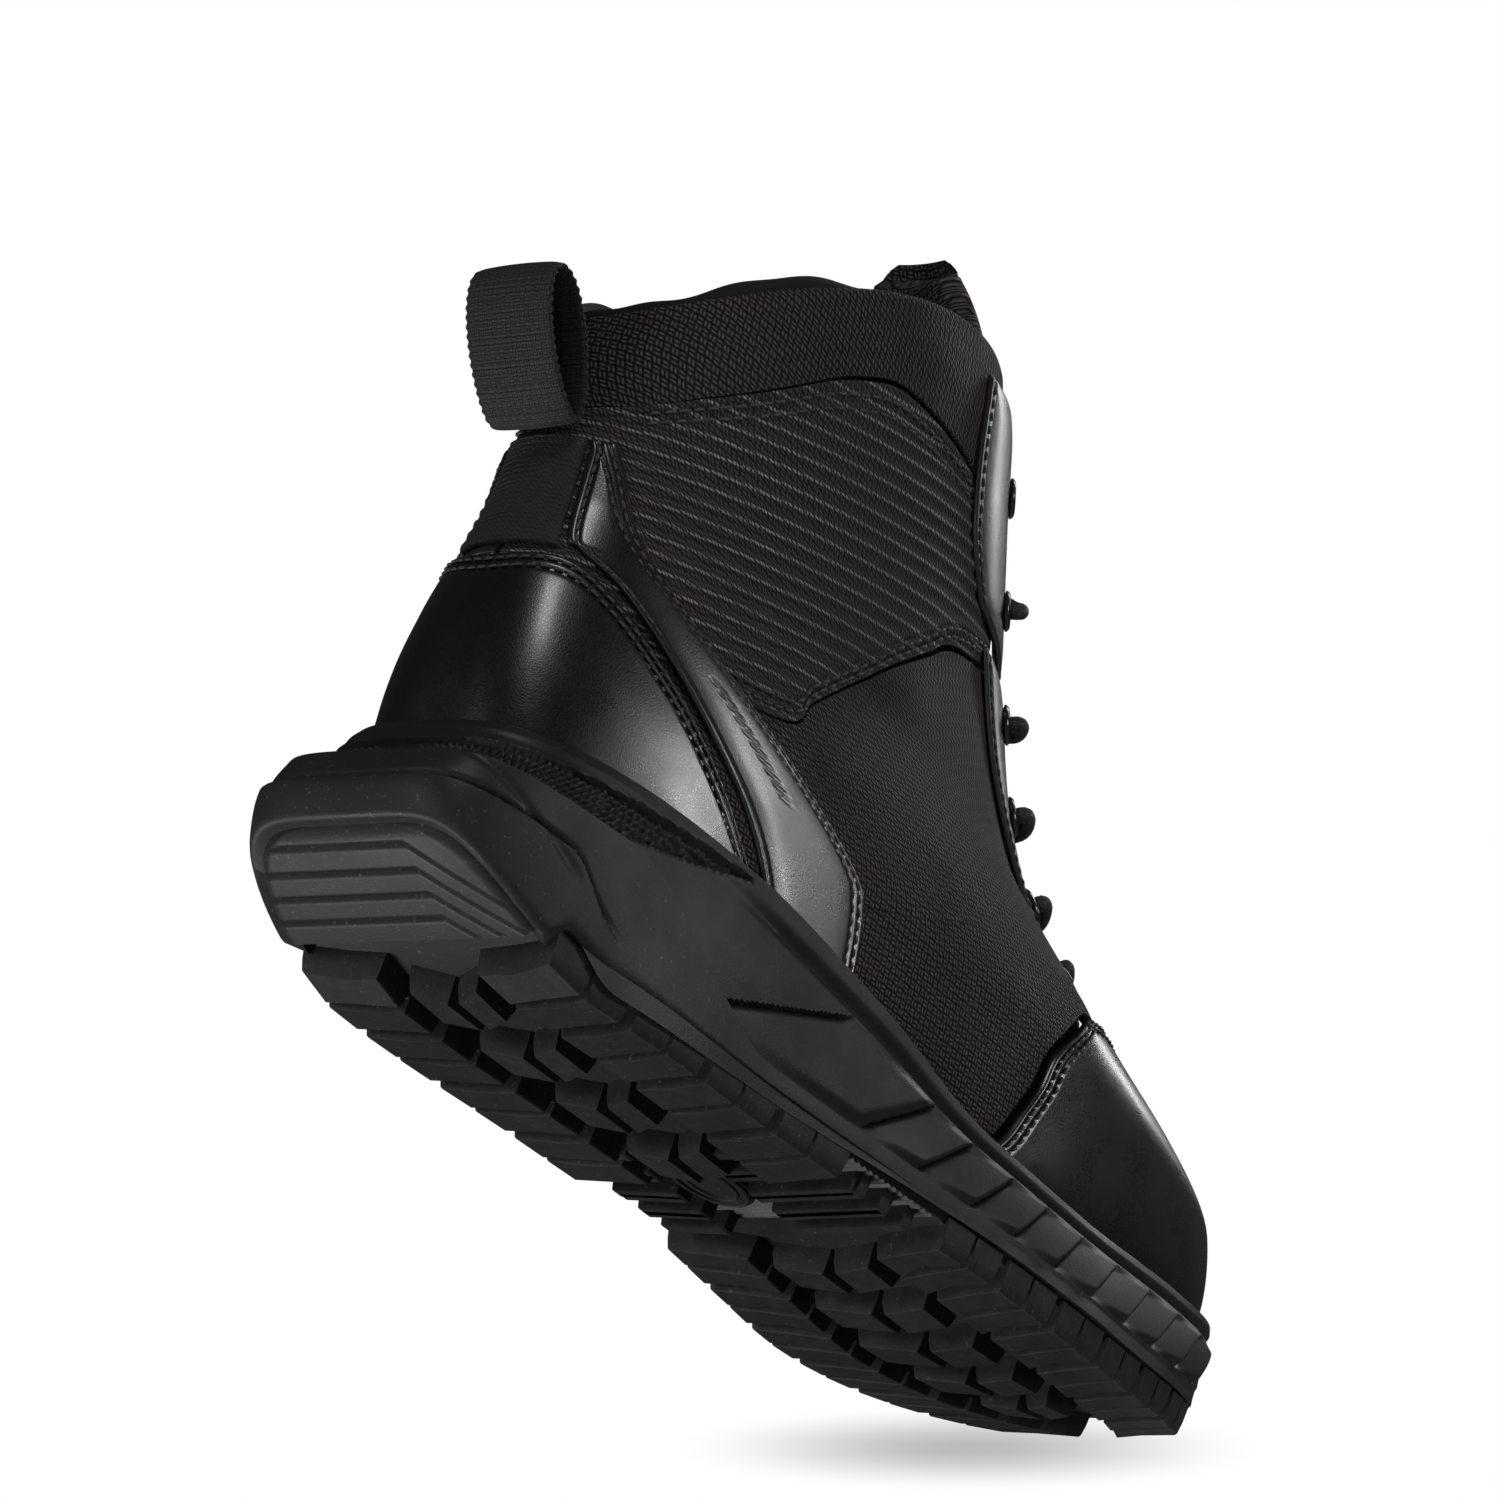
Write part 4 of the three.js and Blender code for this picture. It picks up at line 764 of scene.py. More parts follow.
sidePatches = {
    "quarter": patchOf([(0.0012, 0.12), (0.2638, 0.12)],
                       [(0.0012, 2.95)] + shifted(ribSeam, 0, -0.004),
                       [(0.0012, 0.12), (0.0012, 2.95)],
                       [(0.2638, 0.12)] + shifted(toeSide[1:], -0.0036, 0)
                       + [(0.372, 3.7), (0.372, 5.3), (0.372, 6.915)]),
    "ankle": patchOf([(0.0012, 3.02)] + shifted(ribSeam, 0, 0.004),
                     [(0.0012, 6.7)] + shifted(collarSeam, 0, -0.004),
                     [(0.0012, 3.02), (0.0012, 6.7)], [(0.372, 6.985), (0.372, 7.865)]),
    "collar": patchOf([(0.0012, 6.77)] + shifted(collarSeam, 0, 0.004), [(0.0012, 9), (0.372, 9)],
                      [(0.0012, 6.77), (0.0012, 9)], [(0.372, 7.935), (0.372, 9)]),
    "stay": patchOf([stayBack[0], stayFront[0]], [stayBack[-1], stayFront[-1]], stayBack, stayFront),
    "eyestayUpper": patchOf([(0.335, 7.2), (0.425, 7.15)], [(0.318, 8.72), (0.42, 8.78)],
                            [(0.335, 7.2), (0.318, 7.6), (0.315, 8.2), (0.318, 8.72)],
                            [(0.425, 7.15), (0.43, 7.8), (0.428, 8.4), (0.42, 8.78)]),
    "eyestayLower": patchOf([(0.4, 4.08), (0.455, 4.2)], [(0.345, 6.98), (0.43, 7.02)],
                            [(0.4, 4.08), (0.372, 4.5), (0.362, 5.3), (0.352, 6.2), (0.345, 6.98)],
                            [(0.455, 4.2), (0.45, 5.0), (0.442, 6.0), (0.43, 7.02)]),
}
toeTop = [(0.3324, 3.065), (0.3744, 3.565), (0.4324, 3.845), (0.5, 3.95)]
heelCover = patchOf([(-0.165, 0.3), (0.165, 0.3)],
                    [(-s, v) for s, v in heelCoverTop] + heelCoverTop[:5][::-1],
                    [(-0.165, 0.3), (-0.162, 1.3)], [(0.165, 0.3), (0.162, 1.3)])
toeLeather = patchOf([(0.2662, 0.12), (0.7338, 0.12)],
                     toeTop + [(1 - s, v) for s, v in toeTop[:3][::-1]],
                     toeSide, [(1 - s, v) for s, v in toeSide])
backStrap = patchOf([(-strapHalf, 3.95), (strapHalf, 3.95)], [(-strapHalf, 6.15), (strapHalf, 6.15)],
                    [(-strapHalf, 3.95), (-strapHalf, 6.15)], [(strapHalf, 3.95), (strapHalf, 6.15)])


def ribRelief(points, reach, nearest):
    # round ribs that flatten towards the seams
    crest = (0.5 + 0.5 * np.cos(2 * np.pi * ribShare(points))) ** 0.7
    fade = np.clip((np.minimum(reach["top"], reach["bottom"]) - 5.5) / 3.0, 0, 1)
    return (crest - 0.5) * ribs["height"] * fade


emboss = {"pitch": 3.4, "bar": 0.8, "from": 0.33, "to": 0.58, "depth": 0.34}


def stayRelief(points, reach, nearest):
    # a plain row of slanted bars pressed in along the middle
    total = (reach["bottom"] + reach["top"])
    share = reach["bottom"] / total
    mid = reach["left"] / (reach["left"] + reach["right"]) - 0.5
    wide = reach["left"] + reach["right"]
    bar = np.abs(((reach["bottom"] + mid * wide * 0.35) / emboss["pitch"]) % 1 - 0.5) * emboss["pitch"]
    inBar = np.clip((emboss["bar"] - bar) / 0.5, 0, 1)
    inRow = np.clip((2.0 - np.abs(mid * wide)) / 0.5, 0, 1)
    inRun = np.clip((share - emboss["from"]) * 40, 0, 1) * np.clip((emboss["to"] - share) * 40, 0, 1)
    return -emboss["depth"] * inBar * inRow * inRun


def strapRelief(points, reach, nearest):
    # weft ribs across the webbing
    return 0.16 * np.sin(2 * np.pi * reach["bottom"] / 1.5)


double = (2.2, 4.6)
def sidePatch(side, key):
    # the inner side's patch is the mirrored outer one, turned back so that its grid runs the same way
    if side == "lateral":
        return sidePatches[key]
    patch = mirrored(sidePatches[key])
    flip = {"left": "right", "right": "left"}
    back = {edge: patch[flip.get(edge, edge)] for edge in patch}
    for edge in ("bottom", "top"):
        fine, lengths = patch[edge]
        back[edge] = (fine[::-1], lengths[-1] - lengths[::-1])
    return back


for side in ("lateral", "medial"):
    front, rear = ("right", "left") if side == "lateral" else ("left", "right")
    panelPiece(f"quarter_{side}_cloth", sidePatch(side, "quarter"), layers["fabric"], "nylon",
               [f"quarter_{side}"], step=2.0, rounded=(), puff=0.9)
    panelPiece(f"ankle_{side}_cloth", sidePatch(side, "ankle"), layers["fabric"], "ribbed",
               [f"ankle_panel_{side}"], step=1.8, stepUp=0.45, rounded=(), puff=0.9,
               relief=ribRelief, rows={"top": double, "bottom": double})
    panelPiece(f"collar_{side}_cloth", sidePatch(side, "collar"), layers["fabric"], "nylon",
               [f"collar_panel_{side}"], step=1.8, rounded=("top", front), puff=0.9, puffReach=18.0)
    panelPiece(f"stay_{side}_leather", sidePatch(side, "stay"), layers["leather"], "leather",
               [f"side_stay_{side}"], step=0.7, rounded=("left", "right", "top"), puff=0.5,
               puffReach=5.0,
               rows={front: double, rear: (2.0,)}, relief=stayRelief)
    for key, base in (("eyestayUpper", "eyestay_upper"), ("eyestayLower", "eyestay_lower")):
        panelPiece(f"{base}_{side}_leather", sidePatch(side, key), layers["leather"], "leather",
                   [f"{base}_{side}"], step=0.8, rounded=("left", "right", "top", "bottom"),
                   rows={rear: (1.8,), front: (1.6,)}, puff=0.4, puffReach=4.0)
        for edge, inset in ((rear, 1.8), (front, 1.6)):
            stitchEdge(sidePatch(side, key), edge, inset, layers["leather"][1] - 0.05, 0.02, 0.98)
    for inset in double:
        stitchEdge(sidePatch(side, "stay"), front, inset, layers["leather"][1], 0.03, 0.99)
        for edge, start in (("top", 0.14), ("bottom", 0.2)):
            stitchEdge(sidePatch(side, "ankle"), edge, inset, layers["fabric"][1] + 0.1,
                       start, 0.99, 1.15)
    stitchEdge(sidePatch(side, "stay"), rear, 2.0, layers["leather"][1] - 0.1, 0.6, 0.99)

panelPiece("heel_cover_leather", heelCover, (layers["leather"][0], layers["leather"][1] + 0.5),
           "leather", ["heel_cover"], step=1.6, rounded=("top",), rows={"top": double},
           puff=0.7, stepUp=1.0)
panelPiece("toe_leather_skin", toeLeather, (0.0, 1.9), "toe", ["toe_leather"], step=1.6,
           rounded=("left", "right", "top"), rows={"left": double, "right": double, "top": double},
           puff=0.6)
panelPiece("back_strap_webbing", backStrap, layers["leather"], "webbing", ["back_strap"],
           step=0.9, stepUp=0.35, rounded=("left", "right"), relief=strapRelief)
for inset in double:
    stitchEdge(heelCover, "top", inset, layers["leather"][1] + 0.55, 0.02, 0.98)
    stitchEdge(toeLeather, "top", inset, 1.95, 0.0, 1.0)
    stitchEdge(toeLeather, "left", inset, 1.95, 0.1, 0.98)
    stitchEdge(toeLeather, "right", inset, 1.95, 0.1, 0.98)
print("panels made")

# ---- sole unit
def smoothed(x, low, high):
    q = np.clip((np.asarray(x, float) - low) / (high - low), 0, 1)
    return q * q * (3 - 2 * q)


def groundAt(x):
    # the tread lifts with the square of the way past the ball, and behind the heel's bevel line
    spring = sole["toeSpring"] * (np.maximum(x - lengthX(0.66), 0) / 100) ** 2
    return spring + sole["heelBevel"] * (np.maximum(lengthX(0.155) - x, 0) / 34) ** 1.5


def rimTopAt(x):
    spring = sole["toeSpring"] * (np.maximum(x - lengthX(0.66), 0) / 100) ** 2
    rise = through(sole["wrapShares"], sole["wrapRise"], shareOf(x))
    wrap = (sole["wrapTop"] - sole["rimTop"]) * rise
    return sole["rimTop"] + spring + wrap


def lipAt(x):
    return last["shaftHeight"] * through(sole["lipShares"], sole["lipHeights"], shareOf(x))


def soleEdge(s, grow, flare=0.0):
    # outline of the sole: the side's sine to a power, times the half width at that station
    xi, side = along(s), np.sin(2 * np.pi * s)
    share = np.where(side > 0, through(sole["stations"], sole["outer"], xi),
                     through(sole["stations"], sole["inner"], xi))
    power = through(last["bluntStations"], sole["bluntness"], xi)
    y = -np.sign(side) * np.abs(side) ** power * (share * last["ballHalf"] + grow)
    back = heelX - flare - grow
    return back + (lengthX(1) + grow - back) * xi, y


def halfWidthAt(x, outer):
    xi = np.clip(shareOf(x), 0, 1)
    share = through(sole["stations"], sole["outer" if outer else "inner"], xi)
    power = through(last["bluntStations"], sole["bluntness"], xi)
    return (2 * np.sqrt(xi * (1 - xi))) ** power * share * last["ballHalf"]


def gridNormals(points):
    # outward normals of a grid closed round: column slope x row slope
    across = np.roll(points, -1, axis=1) - np.roll(points, 1, axis=1)
    return unit(np.cross(across, np.gradient(points, axis=0)))


wrap = {"low": -131.0, "lowGap": 1.0, "round": 3.2, "flare": 4.0, "crest": 1.5,
        "topShares": (0, 0.09, 0.13, 0.17, 1), "topRise": (17.5, 15.5, 6.0, 1.0, 0),
        "grooves": (-154.6, -148.4, -142.4, -136.4), "bend": -13.0}


def wrapTopAt(x):
    # the proud rubber at the heel ends on this line
    return sole["rimTop"] + through(wrap["topShares"], wrap["topRise"], shareOf(x))


def outsoleShell():
    # wall from the tread to the rim, proud below the wrap line, then over the rim and inside
    s = np.linspace(0, 1, 860, endpoint=False)[None, :]
    t = np.concatenate([[0, 0.02, 0.05, 0.09], np.linspace(0.13, 0.95, 40), [0.98, 1.0]])[:, None]
    flare = wrap["flare"] * np.sin(np.pi * np.clip(t * 0.85 + 0.15, 0, 1))
    x, y = soleEdge(s, 0.0, flare)
    drop = 7.0 - wrap["lowGap"]
    low = groundAt(x) + 8 - drop * smoothed(-x, 124, 131)
    z = low + (rimTopAt(x) - low) * t
    wall = np.stack([x, y + 0 * z, z], axis=-1)
    normals = gridNormals(wall)
    heel = smoothed(-x, 108, 122)
    proud = wrap["crest"] * smoothed(wrapTopAt(x) - z, -0.5, 0.9) * heel
    edge = -1.0 * np.exp(-((wrapTopAt(x) + 0.6 - z) / 0.7) ** 2) * heel
    crease = -0.6 * np.exp(-((z - (14 + 0.55 * (-112 - x))) / 1.3) ** 2) * smoothed(-x, 124, 130)
    corner = -1.2 * (1 - np.sqrt(1 - (1 - np.clip(t / 0.09, 0, 1)) ** 2))
    wall = wall + normals * (proud + edge + crease * (y < 0) + corner)[..., None]
    rings = [wall]
    # inwards over the rim, then down inside it
    for grow, heightAt in ((-1.2, lambda q: rimTopAt(q) + 0.15), (-4, rimTopAt),
                           (-4, lambda q: groundAt(q) + 10)):
        ringX, ringY = soleEdge(s, grow)
        rings.append(np.stack([ringX, ringY, heightAt(ringX)], axis=-1))
    footX, footY = soleEdge(s, -3.6)
    foot = np.stack([footX, footY, wall[:1, :, 2] - 0.2], axis=-1)
    rows = np.concatenate([foot] + rings)
    count = rows.shape[1]
    points = rows.reshape(-1, 3)
    faces = ringFaces(len(rows), count)
    return points, faces.tolist()


def plateShell():
    # tread base: ground line plus the lug height, finely ribbed under the waist
    x = np.linspace(lengthX(0.006), lengthX(0.994), 700)[None, :]
    w = np.linspace(-1, 1, 90)[:, None]
    y = np.where(w < 0, w * (halfWidthAt(x, True) - 2), w * (halfWidthAt(x, False) - 2))
    waist = smoothed(x, lengthX(0.4), lengthX(0.41)) * (1 - smoothed(x, lengthX(0.525), lengthX(0.53)))
    z = groundAt(x) + sole["lugHeight"] + 0.35 * np.sin(2 * np.pi * x / 2.2) * waist
    bottom = np.stack([x + 0 * w, y, z + 0 * w], axis=-1)
    top = bottom + (0, 0, 3.0)
    return slab(bottom[:, ::-1], top[:, ::-1])


def heelBlock():
    # bevelled face under the heel's back, with straight grooves that bend forward on the outer side
    x = np.linspace(-158.0, wrap["low"], 130)[None, :]
    w = np.linspace(-1, 1, 150)[:, None]
    half = np.where(w < 0, halfWidthAt(x, True), halfWidthAt(x, False)) - 0.4
    y = w * half
    rim = np.minimum((1 - np.abs(w)) * half, (x + 158.5) * 0.9)
    lift = wrap["round"] * (1 - np.sqrt(1 - (1 - np.clip(rim / wrap["round"], 0, 1)) ** 2))
    z = groundAt(x) + wrap["lowGap"] + lift
    out = np.maximum(wrap["bend"] - y, 0)
    for k, line in enumerate(wrap["grooves"]):
        slope = (-132.6 - line) / (25.0 - 7.0 * k)
        steep = np.sqrt(1 + slope * slope * (out > 0))
        z = z + 1.1 * np.exp(-((x - line - out * slope) / 0.55) ** 2) / steep
    bottom = np.stack([x + 0 * w, y, z], axis=-1)
    top = np.stack([x + 0 * w, y * 0.96, groundAt(x) + 7.5 + 0 * w], axis=-1)
    return slab(bottom[:, ::-1], top[:, ::-1])


def prism(corners, foot=0.0, taper=1.6, crease=0.5, top=7.4):
    # lug: straight from its root to a crease, then drawn in to a chamfered foot
    corners = np.asarray(corners, float)
    following = np.roll(corners, -1, axis=0)
    if np.sum(corners[:, 0] * following[:, 1] - following[:, 0] * corners[:, 1]) < 0:
        corners = corners[::-1]
    centre = corners.mean(axis=0)
    away = corners - centre
    size = np.linalg.norm(away, axis=1, keepdims=True)
    rings = []
    for inset, height in ((-0.4, top), (0.2, 6.0 * crease + foot * 0.5), (taper, 0.4 + foot),
                          (taper + 0.45, foot)):
        flat = centre + away * (1 - np.minimum(inset / size, 0.8))
        rings.append(np.column_stack([flat, groundAt(flat[:, 0]) + height]))
    n = len(corners)
    faces = gridFaces(4, n, closedCols=True)[:, ::-1].tolist()
    faces += [list(range(n)), list(range(4 * n - 1, 3 * n - 1, -1))]
    return np.concatenate(rings), faces


tread = {
    "heelRows": (0.1, 0.182, 0.264, 0.346), "foreRows": (0.535, 0.606, 0.677, 0.748, 0.819, 0.89),
    "waistBars": (0.405, 0.44, 0.475, 0.5), "gap": 3.0, "sipe": 1.0, "edge": 0.9,
}


def edgeLugs(start, end, outer, slant, inboard):
    # a lug on the sole's edge, split by a sipe whose floor is half as deep
    sign = -1 if outer else 1
    back, front = start + tread["gap"] / 2, end - tread["gap"] / 2
    middle = (back + front) / 2
    half = tread["sipe"] / 2
    dent = 2.2

    def edge(x):
        return sign * (float(halfWidthAt(x, outer)) - tread["edge"])

    def root(x):
        return edge(x) - sign * inboard

    def mid(x):
        return edge(x) - sign * inboard * 0.55

    made = []
    for a, b in ((back, middle - half), (middle + half, front)):
        made.append(prism([[a, edge(a)], [b, edge(b)], [b + dent, mid(b)], [b + slant, root(b)],
                           [a + slant, root(a)], [a + dent, mid(a)]], taper=0.9))
    made.append(prism([[middle - 1, edge(middle) - sign * 1.4], [middle + 1, edge(middle) - sign * 1.4],
                       [middle + slant + 1, root(middle)], [middle + slant - 1, root(middle)]],
                      foot=3.0, taper=0.1))
    return made


def treadShells():
    made = [plateShell(), heelBlock(), outsoleShell()]
    for rows in (tread["heelRows"], tread["foreRows"]):
        rowX = lengthX(rows)
        pitch = rowX[1] - rowX[0]
        slant = 3 if rows is tread["heelRows"] else 6
        for start in rowX:
            end = start + pitch
            made += edgeLugs(start, end, True, slant, 23) + edgeLugs(start, end, False, slant, 21)
            middle, reach = (start + end) / 2 + slant, 0.28 * pitch
            inner, outer = float(halfWidthAt(middle, False)) - 27, float(halfWidthAt(middle, True)) - 29
            if inner + outer <= 9:
                continue
            half, kink = (inner - outer) / 2, reach * 0.6
            for low, high, lowKink, highKink in ((-outer, half - 0.7, 0, kink),
                                                 (half + 0.7, inner, kink, 0)):
                made.append(prism([[middle - reach + lowKink, low], [middle + reach + lowKink, low],
                                   [middle + reach + highKink, high],
                                   [middle - reach + highKink, high]],
                                  taper=1.2))
    bar = (lengthX(tread["waistBars"][1]) - lengthX(tread["waistBars"][0])) * 0.28
    for x in lengthX(tread["waistBars"]):
        for outer in (True, False):
            sign = -1 if outer else 1
            edge = sign * (float(halfWidthAt(x, outer)) - 5)
            for shift in (-0.42, 0.42):
                middle = x + shift * 11
                made.append(prism([[middle - bar * 0.55, edge], [middle + bar * 0.55, edge],
                                   [middle + bar * 0.55 + 2, sign * 9.5],
                                   [middle - bar * 0.55 + 2, sign * 9.5]],
                                  foot=1.4, taper=0.5))
    return made


emblem = {"share": 0.452, "y": 0.5, "plate": (13.4, 9.2), "height": 3.4,
          "rings": ((11.5, 7.6, 0.7), (8.6, 5.2, 0.5))}


def emblemShells():
    # plain oval beads under the waist: a round profile carried round an ellipse
    made = []
    turn = np.linspace(0, 2 * np.pi, 73)
    x0 = float(lengthX(emblem["share"]))
    disc = np.linspace(0, 2 * np.pi, 48, endpoint=False)
    long, wide = emblem["plate"]
    plate = np.column_stack([x0 + long * np.cos(disc), emblem["y"] + wide * np.sin(disc)])
    made.append(prism(plate, foot=emblem["height"], taper=0.4))
    for a, b, thick in emblem["rings"]:
        path = np.column_stack([x0 + a * np.cos(turn), emblem["y"] + b * np.sin(turn),
                                np.full(len(turn), emblem["height"])])
        made.append(tube(path, thick, 8, np.array([0.0, 0.0, 1.0])))
    return made


midsole = {
    "grooves": ((-98.0, 2.65), (-28.0, 1.44), (-5.6, 1.22), (14.6, 1.07), (31.0, 0.99), (47.5, 0.95),
                (64.0, 0.92), (80.5, 0.9), (96.5, 0.9), (112.0, 0.9), (127.0, 0.9), (141.0, 0.9)),
    "facet": 2.7, "lipBand": 0.8, "bandDepth": 1.7,
    "knurlPitch": 1.9, "knurlHeight": 0.55,
    "bandX": (-160, -150, -128, -118, -96, -76), "bandLow": (34.4, 34.8, 36.3, 37.2, 41.6, 46.2),
    "bandHigh": (44.5, 44.2, 45.9, 46.4, 46.9, 46.6),
}


def cupReach(s):
    q = smoothed(along(s), 0.4, 0.52)
    return 0.9 + 3.2 * (1 - q) + 1.6 * q


def flatOffset(s, v, d):
    normal = lastNormal(s, v)
    normal[..., 2] = 0
    return lastPoint(s, v) + unit(normal) * np.asarray(d)[..., None]


def lipLevel(s):
    # the level where the last is as high as the lip, by halving
    target = lipAt(lastPoint(s, 1.0)[..., 0])
    low, high = np.zeros_like(s), np.zeros_like(s) + 3
    for _ in range(24):
        middle = (low + high) / 2
        under = lastPoint(s, middle)[..., 2] < target
        low, high = np.where(under, middle, low), np.where(under, high, middle)
    return low


def midsoleShell():
    # wall straight from the rim to the lip, then displaced: knurled band at the heel, slanted
    # facets along the sides, a smooth proud lip on top
    s = np.linspace(0, 1, 1500, endpoint=False)
    lip = flatOffset(s, lipLevel(s), cupReach(s) + 3)
    x0, y0 = soleEdge(s, -0.4)
    waist = flatOffset(s, 0.2, cupReach(s) + 2.4)
    low = np.stack([x0, y0, wrapTopAt(x0) + groundAt(np.maximum(x0, 0))], axis=-1)
    t = np.concatenate([np.linspace(-0.25, 0.98, 62), [1.0]])[:, None]
    wall = low[None] * (1 - t[..., None]) + lip[None] * t[..., None]
    medial = np.clip(np.abs(waist[:, 1]) - np.abs(wall[..., 1]), 0, 8) * (s > 0.5)
    wall[..., 1] += medial * smoothed(t, 0.0, 0.5)
    normals = gridNormals(wall)
    x, z = wall[..., 0], wall[..., 2]
    lines = [start + (z - 10) * slope for start, slope in midsole["grooves"]]
    index = sum(np.clip((x - a) / (b - a), 0, 1) for a, b in zip(lines[:-1], lines[1:]))
    part = index - np.floor(index)
    inside = ((index > 0.001) & (index < len(lines) - 1.001)).astype(float)
    size = midsole["facet"] * (0.55 + 0.45 * smoothed(x, -90, 0))
    fade = smoothed(t, -0.02, 0.1) * (1 - smoothed(t, 0.62, 0.76))
    saw = (part - 0.35) * size - 1.5 * np.exp(-(np.minimum(part, 1 - part) * 17 / 0.8) ** 2)
    ledge = -1.1 * np.exp(-((t - midsole["lipBand"]) / 0.035) ** 2) * smoothed(x, -84, -60)
    push = saw * fade * inside + ledge + 0.8 * 4 * np.clip(t, 0, 1) * (1 - np.clip(t, 0, 1))
    bandLow = np.interp(x, midsole["bandX"], midsole["bandLow"])
    bandHigh = np.interp(x, midsole["bandX"], midsole["bandHigh"])
    band = smoothed(z - bandLow, -0.2, 0.5) * smoothed(bandHigh - z, -0.2, 0.5) * (x < -74)
    aroundLip = walked(lip)[None, :]
    u, w = aroundLip / midsole["knurlPitch"], z / midsole["knurlPitch"]
    pyramid = np.abs(np.sin(np.pi * (u + w * 0.35))) * np.abs(np.sin(np.pi * w))
    push = push + band * (-midsole["bandDepth"] + midsole["knurlHeight"] * 2 * pyramid)
    push = push + 0.5 * smoothed(t, 0.82, 0.9)
    wall = wall + normals * push[..., None]
    crown = flatOffset(s, lipLevel(s), cupReach(s) + 1.5) + (0, 0, 1.1)
    cup = flatOffset(s, lipLevel(s), cupReach(s) - 0.5)
    floor = flatOffset(s, np.full_like(s, 0.24), cupReach(s) - 0.5)
    rows = np.concatenate([wall, crown[None], cup[None], floor[None]])
    count = len(s)
    faces = ringFaces(len(rows), count)
    return rows.reshape(-1, 3), faces


addPiece("outsole_tread", joined(treadShells() + emblemShells()), finishes["rubber"],
         ["outsole"], sharp=38)
addPiece("midsole_wall", midsoleShell(), finishes["foam"], ["midsole"], sharp=42)
print("sole made")

# ---- collar roll, lining and footbed
collarReach = 0.39  # how far the collar runs round from the back, each way
collarRoll = {"radius": 2.7, "core": -2.9, "rise": 0.4, "drop": 3.4, "bump": 0.9, "inside": -7.2,
              "start": -5.4, "low": 6.4, "cols": 260}


def collarRollShell():
    # one section carried round the collar: up behind the cloth, a half circle over the edge, then
    # down the inside; soft bumps come from two sines along it
    s = np.linspace(-collarReach, collarReach, collarRoll["cols"])[None, :]
    waves = 0.6 * np.sin(2 * np.pi * s * 8.3 + 0.6) + 0.4 * np.sin(2 * np.pi * s * 17 + 2)
    bump = collarRoll["bump"] * waves
    end = np.sqrt(np.clip(1 - (np.abs(s) / 0.391) ** 24, 0.02, 1))
    rise = collarRoll["rise"] - collarRoll["drop"] * smoothed(np.abs(s), 0.15, 0.25)
    edge, normal = lastPoint(s, 9.0), lastNormal(s, 9.0)
    up = unit(lastPoint(s, 9.0) - lastPoint(s, 8.9))
    rows, core = [], []
    for v in (8.3, 8.6, 8.85, 9.0):
        rows.append(offsetPoint(s, v, -0.3 + 0 * s))
        core.append(offsetPoint(s, v, -2.9 + 0 * s))
    for turn in np.linspace(0, np.pi, 15):
        reach = (collarRoll["radius"] + bump * np.sin(turn)) * end
        out = collarRoll["core"] + reach * np.cos(turn) * 0.9
        over = rise + reach * np.sin(turn)
        rows.append(edge + normal * out[..., None] + up * over[..., None])
        core.append(edge + normal * -3.0)
    for v in np.linspace(8.95, collarRoll["low"], 14):
        soft = (v - collarRoll["low"]) / (9 - collarRoll["low"])
        swell = np.sin(np.pi * min(1.0, soft * 0.75 + 0.02))
        d = collarRoll["start"] + (collarRoll["inside"] - collarRoll["start"]) * swell - 0.7 * bump
        rows.append(offsetPoint(s, v, d))
        core.append(offsetPoint(s, v, -3.1 + 0 * s))
    aroundRoll, acrossRoll = np.meshgrid(s[0], np.linspace(0, 3.3, len(rows)))
    flat = clothUV(aroundRoll, acrossRoll).reshape(-1, 2)
    return slab(np.concatenate(rows), np.concatenate(core)), np.concatenate([flat, flat])


def liningShell(low, high, left, right, cols, rows):
    # sheet just inside the last, seen from within
    s = np.linspace(left, right, cols)[None, :]
    v = np.linspace(low, high, rows)[:, None]
    wave = 0.25 * np.sin(2 * np.pi * s * 30) * np.sin(v * 4)
    inner, outer = layers["lining"]
    flat = clothUV(s + 0 * v, v + 0 * s).reshape(-1, 2)
    shell = slab(offsetPoint(s, v, outer + 0 * (s + v)), offsetPoint(s, v, inner + wave))
    return shell, np.concatenate([flat, flat])


def footbedShell():
    # across the foot from side to side, dished towards its edge, dimpled in a grid
    s = np.linspace(0.004, 0.496, 150)[None, :]
    w = np.linspace(0, 1, 70)[:, None]
    outer = flatOffset(s[0], np.full(150, 0.1), np.full(150, -5.9))[None]
    inner = flatOffset(1 - s[0], np.full(150, 0.1), np.full(150, -5.9))[None]
    base = outer * (1 - w[..., None]) + inner * w[..., None]
    dish = 1.6 * (2 * np.abs(w - 0.5)) ** 3
    dimple = -0.35 * (np.sin(base[..., 0] * 0.9) * np.sin(base[..., 1] * 0.9) > 0.55)
    edge = np.clip(np.minimum(w, 1 - w) * 30, 0, 1)
    top = base + np.stack([0 * dimple, 0 * dimple, 5 + (dish + dimple) * edge], axis=-1)
    return slab(top[::-1], (base + (0, 0, 0.3))[::-1])


rollMade, rollUV = collarRollShell()
roll = addPiece("collar_roll", rollMade, finishes["collar"],
                ["collar_padding", "lining_collar_lateral", "lining_collar_medial"], uv=rollUV)
# the foot's lining, closed in front, and the shaft's lining, open in front
linings = [liningShell(0.12, 4.24, -0.4999, 0.4999, 240, 40),
           liningShell(4.25, 7.2, -collarReach, collarReach, 190, 24)]
addPiece("foot_lining", joined([made for made, flat in linings]), finishes["lining"],
         ["lining_vamp", "lining_quarter_lateral", "lining_quarter_medial"],
         uv=np.concatenate([flat for made, flat in linings]))
bed = addPiece("footbed_foam", footbedShell(), finishes["foamPad"], ["footbed"])

